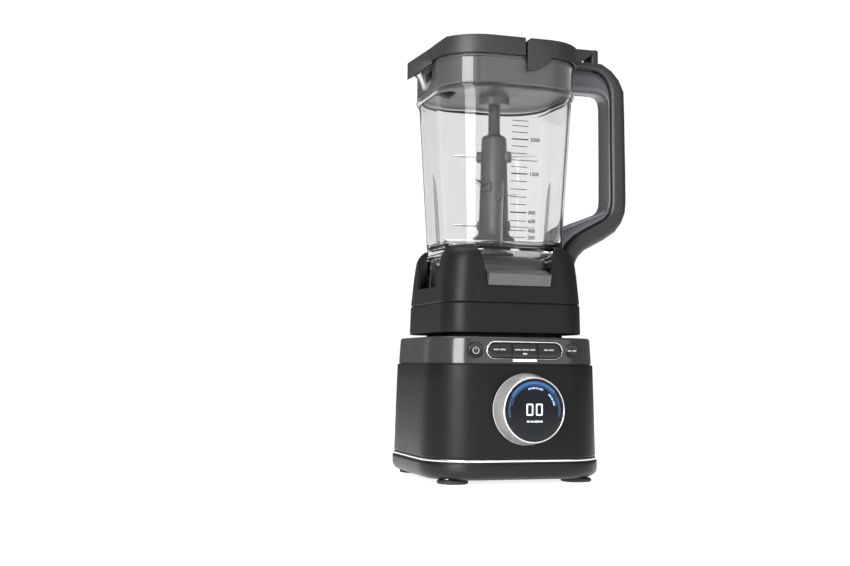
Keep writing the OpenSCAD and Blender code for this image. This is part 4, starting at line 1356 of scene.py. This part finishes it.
@dataclass
class Collar(SubAssembly):
    """Collar band, crown with four horns, ledge and hub."""

    half: float = 71.7
    corner: float = 27.0
    z_low: float = 139.2
    z_crown: float = 167.6
    z_sill: float = 184.0

    def build(self) -> None:
        """Build the collar's pieces."""
        self.band()
        self.crown()
        self.ledge()
        self.hub()
        self.dress(Kit.steel, "spindle_bearing", "handle_screws")
        self.dress(Kit.rubber, "spindle_seal")

    def band(self) -> None:
        """Lower band with rolled edges."""
        low, top = self.z_low, self.z_crown
        profile = [(low, -1.6), (low + 0.3, -0.7), (low + 1.0, -0.1), (low + 2, 0), (top - 1.4, -0.7)]
        profile += [(top - 0.9, -0.85), (top - 0.5, -1.2), (top, -1.9), (top, -8), (low + 4, -8), (low, -6)]
        profile += [(low, -1.6)]
        band = Bench.loft("collar_band_shell", shrink(profile, self.half, self.corner), ring=True)
        self.add(band, "jug_assembly", Kit.collar, "collar_grey", "collar_band")

    def _crown_section(self, z: float, half: float, corner: float) -> list[Vector]:
        """One section of the crown."""
        return rounded(half, half, corner, z, 12, 10)

    def crown(self) -> None:
        """Crown whose corners rise into four horns round the jug's foot."""
        z = self.z_crown
        outer = [(z, 69.0, 25.4), (z + 0.5, 70.2, 26), (z + 1.2, 70.7, 26), (195, 68.6, 26)]
        outer += [(207, 67.3, 26), (213, 66.4, 26.2), (216.5, 65.2, 27), (219.4, 63.6, 28.4)]
        outer += [(221.8, 61.9, 30.4), (223.2, 60.9, 32.4)]
        inner = [(223.5, 60.3, 34.4), (222.6, 60.1, 35.2), (219.5, 60.3, 34.8), (216, 61.8, 33)]
        inner += [(211, 63.3, 31), (200, 64.8, 28.5), (186, 66.2, 27), (182, 66.2, 27), (182, 40, 24)]
        sections = [self._crown_section(*row) for row in outer + inner]
        sections += [self._crown_section(178, 40, 30), self._crown_section(178, 62, 24)]
        sections += [self._crown_section(z, 62, 24), self._crown_section(z, 69.0, 25.4)]
        crown = Bench.loft("collar_crown_shell", sections, ring=True)
        cutters = [self._window(turn) for turn in (0, 180, 270)]
        Bench.cut(crown, *cutters)
        Bench.soften(crown, 1.1, 3, 42)
        self.add(crown, "jug_assembly", Kit.collar, "collar_grey", "collar_crown")

    def _window(self, turn: float) -> bpy.types.Object:
        """A cutter for one opening between two horns, front first.

        Args:
            turn: degrees from the front.

        Returns:
            The cutter.
        """
        z = self.z_sill
        edge = [(31.6, z), (32.4, 190), (33.6, 200), (35.2, 208), (37.4, 215), (40.6, 221), (46, 230)]
        outline = [(-x, h) for x, h in reversed(edge)] + edge
        front = [Vector((x, -90, h)) for x, h in outline]
        back = [Vector((x, -46, h)) for x, h in outline]
        cutter = Bench.loft("window", [front, back])
        Bench.place(cutter, (0, 0, turn))
        return cutter

    def ledge(self) -> None:
        """Glossy ledge under the front opening."""
        rows = [(-60.2, 184.1, 31.0), (-71.9, 184.1, 31.0), (-73.4, 189.6, 31.2), (-74.6, 194.6, 31.4)]
        rows += [(-74.1, 195.3, 31.4), (-72.6, 195.6, 31.4), (-60.4, 199.8, 31.6)]
        low = [Vector((-half, y, z)) for y, z, half in rows]
        high = [Vector((half, y, z)) for y, z, half in rows]
        ledge = Bench.soften(Bench.loft("front_ledge", [low, high], angle=20), 0.5, 2, 20)
        # Its light grey finish is painted reflection on the sloping glossy face.
        self.add(ledge, "jug_assembly", Kit.ledge, "ledge_grey", "crown_ledge")

    def hub(self) -> None:
        """Dark dome under the jug's floor, stepped where the seal sits."""
        path = [(29, 173, 0.97), (29, 181, 0.97), (53.6, 182.2, 0.5), (54.4, 184, 0.5), (54, 190, 0.5)]
        path += [(52.4, 200, 0.52), (49.5, 208, 0.55), (44.5, 213.6, 0.6), (38, 216.8, 0.7)]
        path += [(30, 218.4, 0.9), (13, 219.0, 0.97), (12, 219.4, 0.97), (12, 222.8, 0.97)]
        path += [(11.4, 223.4, 0.97), (9.6, 223.4, 0.97)]
        hub = Bench.loft("bearing_hub", [rounded(r, r, r * share, z, 14, 4) for r, z, share in path])
        self.add(hub, "jug_assembly", Kit.hub, "inner_grey", "jug_hub")


class Tick(Enum):
    """Length and half thickness of a mark on the jug's scale, in millimetres."""

    SHORT = (16.4, 0.36)
    LONG = (17.0, 0.62)
    WIDE = (27.0, 0.36)


@dataclass
class Jug(SubAssembly):
    """Clear jug with its ribs and printed scale."""

    low_half: float = 59.7
    flare: float = 9.6
    z_hub: float = 219.0
    z_shoulder: float = 372.0
    wall: float = 2.6
    rim_half: float = 71.4
    rim_side: float = 69.0

    def build(self) -> None:
        """Build the jug, its ribs and its scale."""
        self.body()
        self.ribs()
        self.scale()

    def half_at(self, z: float) -> float:
        """Half width of the jug's outside at a height."""
        return self.low_half + self.flare * (z - self.z_hub) / (self.z_shoulder - self.z_hub)

    def _section(self, hx: float, hy: float, corner: float, z: float, beak: float = 0.0) -> list[Vector]:
        """One section of the jug, with the pouring lip pulled out on its left side.

        Args:
            hx: half size along X, in millimetres.
            hy: half size along Y.
            corner: radius of the corners.
            z: height.
            beak: how far the lip stands out.

        Returns:
            The section's points.
        """
        points = rounded(hx, hy, corner, z, 12, 14)
        for p in points:
            if beak and p.x < -hx * 0.9 and abs(p.y) < 21:
                p.x -= beak * math.cos(math.pi * p.y / 42) ** 2
        return points

    def body(self) -> None:
        """Jug wall from the floor up over the rim and down to the skirt."""
        w = self.wall
        rows = []
        floor = ((222.0, 11), (222.5, 7), (224.2, 3.4), (227.4, 1.2), (231.5, 0.2), (240, 0), (270, 0))
        for z, round_by in floor:
            half = self.half_at(z) - w - round_by
            rows.append((half, half, half - 24.5, z, 0.0))
        for z in (300, 330, 355, 366):
            half = self.half_at(z) - w
            rows.append((half, half, half - 24.5, z, 0.0))
        rx, ry = self.rim_half, self.rim_side
        rows.append((rx - w - 1.6, ry - w - 0.4, 43, 371, 0))
        for z, beak in ((374.6, 0), (380, 0), (386, 2.5), (393, 7.5), (400, 12), (404.0, 13)):
            rows.append((rx - w, ry - w, 41, z, beak))
        rows.append((rx - w + 0.6, ry - w + 0.6, 41.6, 404.4, 13))
        rows.append((rx - 0.6, ry - 0.6, 42.4, 404.4, 13.4))
        for z, beak in ((403.8, 13.6), (400, 12.6), (392, 8), (384, 2.6), (378, 0), (376.4, 0)):
            rows.append((rx, ry, 43, z, beak))
        rows += [(rx + 0.5, ry + 0.5, 43.4, 375.2, 0), (rx + 0.6, ry + 0.6, 43.5, 373.8, 0)]
        rows += [(rx + 0.1, ry + 0.2, 43.2, 372.3, 0), (rx - 1.4, ry - 0.2, 43, 371.2, 0)]
        half = self.half_at(369)
        rows += [(half + 0.4, half + 0.1, 44, 369.6, 0)]
        for z in (366, 350, 325, 300, 275, 250, 230, 219):
            half = self.half_at(z)
            rows.append((half, half, half - 24.7, z, 0.0))
        rows += [(self.low_half, self.low_half, 35, 200, 0), (self.low_half, self.low_half, 35, 185.4, 0)]
        rows += [(self.low_half - 0.5, self.low_half - 0.5, 34.5, 185, 0), (57.2, 57.2, 32.4, 185.4, 0)]
        rows += [(57.1, 57.1, 32.4, 216, 0), (55.5, 55.5, 31, 218.6, 0), (50, 50, 27, 219.1, 0)]
        jug = Bench.loft("jug_shell", [self._section(*row) for row in rows], angle=50)
        self.add(jug, "jug_assembly", Kit.jug, "jug_clear", "jug")

    def ribs(self) -> None:
        """Thin upright ribs inside three walls."""
        parts = []
        for turn, top, shift in ((180, 296, 0), (270, 284, -14), (90, 322, -22), (0, 296, 0)):
            outline = []
            for z, deep in ((222.5, 4.2), (top - 16, 3.2), (top - 6, 2.2), (top, 0.2)):
                outline.append((self.half_at(z) - self.wall + 0.6 - deep, z))
            wall = [(self.half_at(z) - self.wall + 0.6, z) for z in (top + 1, 222.5)]
            shape = [[Vector((x, y, z)) for x, z in outline + wall] for y in (-0.8, 0.8)]
            rib = Bench.loft("jug_ribs", shape)
            Bench.place(rib, at=(0, shift, 0))
            Bench.place(rib, (0, 0, turn))
            parts.append(rib)
        Bench.join(*parts)
        self.add(parts[0], "jug_assembly", Kit.rib, "jug_clear")

    def _on_front(self, obj: bpy.types.Object, x: float, z: float) -> bpy.types.Object:
        """Lay a flat mark on the front wall's outside.

        Args:
            obj: the mark, drawn flat.
            x: place across the wall, in millimetres.
            z: height.

        Returns:
            The same object.
        """
        lean = math.degrees(math.atan(self.flare / (self.z_shoulder - self.z_hub)))
        Bench.place(obj, (90 + lean, 0, 0), (x, -self.half_at(z) - 0.02, z))
        return obj

    def scale(self) -> None:
        """Printed ticks and round numbers."""
        rows = [
            (342.0, Tick.SHORT, ""), (337.0, Tick.SHORT, ""), (330.9, Tick.SHORT, ""),
            (324.3, Tick.LONG, "2000"), (317.6, Tick.SHORT, ""), (310.8, Tick.SHORT, ""),
            (304.4, Tick.WIDE, ""), (298.0, Tick.SHORT, ""), (291.6, Tick.LONG, "1500"),
            (284.3, Tick.SHORT, ""), (276.7, Tick.SHORT, ""), (269.5, Tick.SHORT, ""),
            (262.3, Tick.SHORT, ""), (254.7, Tick.LONG, "800"), (246.6, Tick.SHORT, "600"),
            (237.4, Tick.SHORT, "400"), (231.0, Tick.SHORT, "200"),
        ]
        marks = []
        for z, kind, number in rows:
            reach, thick = kind.value
            tick = Bench.loft("jug_scale", [rounded(reach / 2, thick, thick, d, 4, 1) for d in (0, 0.06)])
            marks.append(self._on_front(tick, -6.6 + reach / 2, z))
            if number:
                marks.append(self._number(number, z))
        Bench.join(*marks)
        self.add(marks[0], "jug_assembly", Kit.print_grey, "collar_grey")

    def _number(self, number: str, z: float) -> bpy.types.Object:
        """A printed number beside its tick.

        Args:
            number: the digits.
            z: height in millimetres.

        Returns:
            The number as a mesh.
        """
        Bench.quiet()
        bpy.ops.object.text_add(location=(0, 0, 0))
        text = bpy.context.object
        text.data.body = number
        text.data.size = 4.9 * MM
        text.data.extrude = 0.03 * MM
        text.data.offset = 0.12 * MM
        text.data.align_y = "CENTER"
        bpy.ops.object.convert(target="MESH")
        made = bpy.context.object
        return self._on_front(made, 12.2, z)


@dataclass
class BladeStack(SubAssembly):
    """Column that carries the blades on the spindle."""

    z_low: float = 226.0
    z_top: float = 338.5
    pitch: float = 0.13
    blade_rows: tuple[tuple[float, float, float, float], ...] = (
        (317.5, -24, 41, 1.5),
        (317.5, 156, 41, 1.5),
        (286.5, -142, 40, 3.0),
        (276.5, -80, 40, -1.0),
        (247.5, -22, 41, -1.0),
        (247.5, 158, 41, 1.0),
    )

    def build(self) -> None:
        """Build the column and the blades, and dress the spindle."""
        self.column()
        self.blades()
        self.dress(Kit.steel, "drive_spindle")

    def blades(self) -> None:
        """Six ground blades, in pairs at the top and foot and one by one between."""
        made = [self._blade(z, turn, reach, lift) for z, turn, reach, lift in self.blade_rows]
        blades = Bench.join(*made)
        self.add(blades, "blade_stack", Kit.blade, "blade_steel", "blades")

    def _blade(self, z: float, turn: float, reach: float, lift: float) -> bpy.types.Object:
        """One blade: a thin ground plate that narrows to a swept tip.

        Args:
            z: height of its root in millimetres.
            turn: which way it points, in degrees.
            reach: how far its tip is from the axis.
            lift: how far its tip rises above its root.

        Returns:
            The blade.
        """
        rows = ((8.0, 9.0, 1.7, 0.0), (14.0, 9.6, 1.7, 0.0), (20.0, 10.2, 1.5, 0.4))
        rows += ((reach * 0.72, 8.6, 1.2, 1.4), (reach * 0.9, 5.6, 0.9, 2.8), (reach, 1.6, 0.5, 4.2))
        sections = []
        for x, chord, thick, sweep in rows:
            rise = lift * max(0.0, x - 14) / (reach - 14)
            half = thick / 2
            flat = [(-chord / 2, 0), (-chord / 5, half), (chord / 4, half), (chord / 2, half * 0.3)]
            flat += [(chord / 2, -half * 0.3), (chord / 4, -half), (-chord / 5, -half)]
            sections.append([Vector((x, y + sweep, v + y * self.pitch + rise)) for y, v in flat])
        blade = Bench.loft("steel_blades", sections, angle=20)
        Bench.place(blade, (0, 0, turn), (0, 0, z))
        return blade

    def _lobed(self, r: float, z: float) -> list[Vector]:
        """A circle pulled into four soft lobes.

        Args:
            r: radius in millimetres.
            z: height.

        Returns:
            The points.
        """
        ring = circle(r, z, 80)
        for p in ring:
            a = math.atan2(p.y, p.x)
            k = 1 + 0.03 * math.cos(4 * a) if 10 < r < 16 else 1.0
            p.x, p.y = p.x * k, p.y * k
        return ring

    def column(self) -> None:
        """Tapered column with a flange, blade bosses and the pilot above."""
        z, top = self.z_low, self.z_top
        path = [(19.6, z), (20.6, z + 0.5), (21, z + 1.4), (21, z + 4.6), (20.2, z + 6), (18, z + 8.4)]
        path += [(16, z + 11), (15.2, z + 14), (14.7, z + 18), (13.9, z + 50), (13.1, z + 82)]
        path += [(12.4, top - 6), (12.2, top - 3), (11.4, top - 1), (10.2, top), (8.2, top + 0.8)]
        path += [(6.6, top + 1.6), (5.8, top + 3.6), (5.7, top + 20), (5.7, top + 35), (5.2, top + 36)]
        column = Bench.loft("blade_column_body", [self._lobed(r, h) for r, h in path])
        bosses = []
        for h, turn, _, _ in self.blade_rows:
            reach = 17.4 if h > 300 else 16.4
            boss = Bench.box("boss", (9, -5.6, h - 5.2), (reach, 5.6, h + 5.2), 1.6, 3)
            Bench.place(boss, (0, 0, turn))
            bosses.append(boss)
        Bench.join(column, *bosses)
        self.add(column, "blade_stack", Kit.column, "column_grey", "blade_column")


@dataclass
class LidSet(SubAssembly):
    """Lid, locking lever, catch button and pouring cap."""

    def build(self) -> None:
        """Build the lid's pieces."""
        rows = (
            ("lid_cover", "lid_cover_shell", "lid", Kit.lid, "lid_grey", 1.1),
            ("lid_plug", "lid_plug_body", "lid", Kit.plug, "lid_grey", 0.5),
            ("locking_lever", "lever_shell", "lever", Kit.lid, "lid_grey", 0.9),
            ("release_button", "catch_button", "latch_button", Kit.keys, "lid_grey", 0.9),
            ("spout_cap", "pouring_cap", "pour_cap", Kit.lid, "lid_grey", 0.5),
        )
        for node, name, body, finish, slot, width in rows:
            piece = Bench.softened_copy(node, name, width, 3)
            self.add(piece, body, finish, slot, node)
        self.gasket()
        # The steel lever pins wear the dark lid finish as painted shade: at the lever's ear they stand in
        # for the shaded gap.
        self.dress(Kit.lid, "lever_pins")

    def gasket(self) -> None:
        """Dark ring round the plug's foot."""
        profile = [(374.2, -1.0), (374.6, 0.2), (375.6, 0.7), (376.6, 0.2), (377, -1.0), (374.2, -1.0)]
        sections = [rounded(67.8 + o, 65.4 + o, 42, z, 10, 6) for z, o in profile]
        ring = Bench.loft("plug_gasket", sections, ring=True)
        self.add(ring, "lid", Kit.rubber, "rubber_black", "lid_gasket")


@dataclass
class Handle(SubAssembly):
    """Handle of two shells: a dark outer one and a lighter inner one."""

    width: float = 26.0

    def build(self) -> None:
        """Build both shells."""
        inner = [(76, 388.3), (90, 388.4), (101, 388.8), (109, 388.6), (114.5, 386.8), (118.2, 382.6)]
        inner += [(119.8, 375), (120.2, 350), (120.4, 325), (120.7, 300), (120.9, 281), (120.3, 274.5)]
        inner += [(118, 269.5), (113.6, 265.6), (101, 260.6), (88, 255.8), (77, 251.4), (68, 248.4)]
        inner += [(62.2, 243), (62, 226)]
        seam = [(76, 413.6), (90, 413.4), (101, 413), (111, 410.6), (117.2, 405.6), (121.2, 398)]
        seam += [(122.9, 389), (123.1, 360), (123.2, 335), (123.6, 305), (124, 283), (123.4, 272.5)]
        seam += [(121, 265), (115.6, 258.8), (104, 252.4), (93, 246.4), (83.5, 240), (74.5, 230.6)]
        seam += [(67, 216), (63.4, 202)]
        outer = [(76, 418.6), (90, 419.8), (101, 420.6), (114.5, 420.4), (125.4, 414.4), (134.6, 405.4)]
        outer += [(140.4, 393), (141.2, 365), (141.7, 335), (142.3, 305), (142.4, 277), (141.4, 266.5)]
        outer += [(137.6, 257), (130, 246.8)]
        outer += [(117, 238), (105, 231.6), (95, 226.2), (88.4, 219.4), (84.4, 211), (82.8, 196)]
        self._shell("handle_inlay", inner, seam, Kit.inlay, "insert_grey", 8.0, "handle_insert")
        shell = self._sweep("handle_back", seam, outer, 7.4)
        root = self._root()
        low, high = [(75.7, 387.9), (80, 388.0)], [(75.7, 418.8), (80, 419.4)]
        sleeve = self._sweep("arm_sleeve", low, high, 8.0, 0.2)
        self.add(sleeve, "jug_assembly", Kit.casing, "handle_grey")
        bracket = Bench.box("arm_bracket", (71.6, -22, 375), (76, 22, 402.5), 1.2, 2)
        self.add(bracket, "jug_assembly", Kit.casing, "handle_grey")
        catch = Bench.box("catch", (102.4, -11, 414), (110.4, 11, 434.4), 2.4, 4)
        saddle = Bench.box("saddle", (84, -10.5, 412), (106, 10.5, 420.6), 1.6, 3)
        Bench.join(shell, root, catch, saddle)
        self.add(shell, "jug_assembly", Kit.grip, "handle_grey", "handle_shell")

    def _sweep(
        self,
        name: str,
        inner: list[tuple[float, float]],
        outer: list[tuple[float, float]],
        corner: float,
        proud: float = 0.0,
    ) -> bpy.types.Object:
        """Skin between two side outlines.

        Args:
            name: name of the piece.
            inner: the side that faces the jug, as (x, z).
            outer: the side that faces away, one point for each inner one.
            corner: radius of the section's corners.
            proud: how far it stands out past the handle's sides.

        Returns:
            The new object.
        """
        sections = []
        for (ax, az), (bx, bz) in zip(inner, outer):
            a, b = Vector((ax, 0, az)), Vector((bx, 0, bz))
            middle, along = (a + b) / 2, (b - a)
            half = along.length / 2
            along.normalize()
            flat = rounded(half, self.width / 2 + proud, min(corner, half * 0.94), 0, 6, 3)
            sections.append([middle + along * p.x + Vector((0, p.y, 0)) for p in flat])
        return Bench.loft(name, sections, angle=40)

    def _shell(
        self,
        name: str,
        inner: list[tuple[float, float]],
        outer: list[tuple[float, float]],
        finish: object,
        slot: str,
        corner: float,
        node: str,
    ) -> None:
        """Sweep one shell, dress it and let it ride.

        Args:
            name: name of the piece.
            inner: the side that faces the jug.
            outer: the side that faces away.
            finish: its finish.
            slot: the record's material slot.
            corner: radius of the section's corners.
            node: the CAD node that it stands for.
        """
        self.add(self._sweep(name, inner, outer, corner), "jug_assembly", finish, slot, node)

    def _root(self) -> bpy.types.Object:
        """Root that stands on the collar's crown.

        Returns:
            The root.
        """
        rows = [(63, 82.8, 204), (62.6, 80.5, 196), (62.4, 76.5, 186), (62.4, 74, 184.4)]
        inner = [(a, z) for a, _, z in rows]
        outer = [(b, z) for _, b, z in rows]
        return self._sweep("root", inner, outer, 4.0)


@dataclass
class Motor(SubAssembly):
    """Motor parts inside the housing, which keep their own shapes."""

    def build(self) -> None:
        """Dress each part."""
        self.dress(Kit.cast, "lower_bracket", "upper_bracket")
        self.dress(Kit.iron, "field_core", "rotor_core")
        self.dress(Kit.copper, "field_windings")
        self.dress(Kit.segments, "commutator")
        self.dress(Kit.holder, "brush_holders")
        self.dress(Kit.carbon, "carbon_brushes")
        self.dress(Kit.steel, "lower_bearing", "upper_bearing", "motor_screws", "motor_shaft")
        self.dress(Kit.rubber, "motor_dampers")
        self.dress(Kit.fan, "cooling_fan")
        self.dress(Kit.casing, "drive_socket")
        self.dress(Kit.plunger, "interlock_plunger")


# ---------------------------------------------------------------------- studio


@dataclass(frozen=True)
class Softbox:
    """One large soft light."""

    name: str
    at: Point
    aim: Point
    size: tuple[float, float]
    power: float

    def build(self) -> None:
        """Hang the light and aim it."""
        data = bpy.data.lights.new(self.name, "AREA")
        data.shape = "RECTANGLE"
        data.size, data.size_y = self.size
        data.energy = self.power
        obj = bpy.data.objects.new(self.name, data)
        bpy.context.scene.collection.objects.link(obj)
        obj.location = self.at
        obj.rotation_euler = (Vector(self.aim) - Vector(self.at)).to_track_quat("-Z", "Y").to_euler()


@dataclass
class Studio:
    """Pale floor, soft light and the camera."""

    eye: Point = (-0.4172, -1.1153, 0.1078)
    right: Point = (0.95482, -0.29700, 0.00975)
    up: Point = (-0.02990, -0.06339, 0.99754)
    forward: Point = (0.29566, 0.95277, 0.06941)
    lens: float = 50.6
    ambient: float = 0.17
    backdrop: float = 1.05
    boxes: tuple[Softbox, ...] = (
        Softbox("corner_strip", (-0.95, -1.02, 0.5), (0.0, 0.0, 0.26), (0.66, 1.3), 29.0),
        Softbox("front_card", (0.75, -2.6, 0.9), (0.0, 0.0, 0.25), (2.6, 1.7), 13.0),
        Softbox("back_left_card", (-1.1, 1.7, 0.7), (0.0, 0.0, 0.2), (0.7, 1.5), 0.9),
        Softbox("overhead", (-0.1, 0.0, 1.7), (0.0, 0.0, 0.2), (1.5, 1.5), 22.0),
    )

    def build(self) -> None:
        """Build the whole studio."""
        self.world()
        self.floor()
        for box in self.boxes:
            box.build()
        self.camera()

    def world(self) -> None:
        """White surroundings, dimmer as light than as backdrop."""
        world = bpy.data.worlds.new("white_surround")
        bpy.context.scene.world = world
        world.use_nodes = True
        tree = world.node_tree
        tree.nodes.clear()
        path = tree.nodes.new("ShaderNodeLightPath")
        seen = tree.nodes.new("ShaderNodeMath")
        seen.operation = "MAXIMUM"
        tree.links.new(path.outputs["Is Camera Ray"], seen.inputs[0])
        tree.links.new(path.outputs["Is Transmission Ray"], seen.inputs[1])
        strength = tree.nodes.new("ShaderNodeMapRange")
        strength.inputs[3].default_value = self.ambient
        strength.inputs[4].default_value = self.backdrop
        tree.links.new(seen.outputs[0], strength.inputs[0])
        back = tree.nodes.new("ShaderNodeBackground")
        back.inputs[0].default_value = (1, 1, 1, 1)
        tree.links.new(strength.outputs[0], back.inputs[1])
        out = tree.nodes.new("ShaderNodeOutputWorld")
        tree.links.new(back.outputs[0], out.inputs[0])
        view = bpy.context.scene.view_settings
        view.view_transform = "Standard"
        view.look = "None"

    def floor(self) -> None:
        """Pale floor with a barely mottled surface."""
        Bench.quiet()
        bpy.ops.mesh.primitive_plane_add(size=3.6)
        floor = bpy.context.object
        floor.name = "studio_floor"
        g = Graph("pale_floor")
        haze = g.noise(3.0, 2.0)
        floor.data.materials.append(
            g.finish(
                {
                    "Base Color": g.between(haze, (0.93, 0.93, 0.93), (0.96, 0.96, 0.96)),
                    "Roughness": 0.9 + haze * 0.05,
                    "Specular IOR Level": 0.1,
                    "Emission Color": g.between(haze, (0.97, 0.97, 0.97), (1.0, 1.0, 1.0)),
                    "Emission Strength": 0.82,
                }
            )
        )

    def camera(self) -> None:
        """Camera low in front of the left corner."""
        data = bpy.data.cameras.new("camera")
        data.lens, data.sensor_width = self.lens, 36.0
        data.clip_start, data.clip_end = 0.02, 60.0
        camera = bpy.data.objects.new("camera", data)
        bpy.context.scene.collection.objects.link(camera)
        rows = Matrix((self.right, self.up, tuple(-v for v in self.forward))).transposed()
        camera.matrix_world = Matrix.Translation(self.eye) @ rows.to_4x4()
        bpy.context.scene.camera = camera


def main() -> None:
    """Build the studio and every sub-assembly."""
    logging.basicConfig(level=logging.INFO, format="%(name)s %(message)s")
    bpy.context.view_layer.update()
    Studio().build()
    for kind in (BaseShell, Controls, Dial, Collar, Jug, BladeStack, LidSet, Handle, Motor):
        part = kind()
        part.build()
        LOG.info("%s built", kind.__name__)
        part.report()


if __name__ == "__main__":
    main()
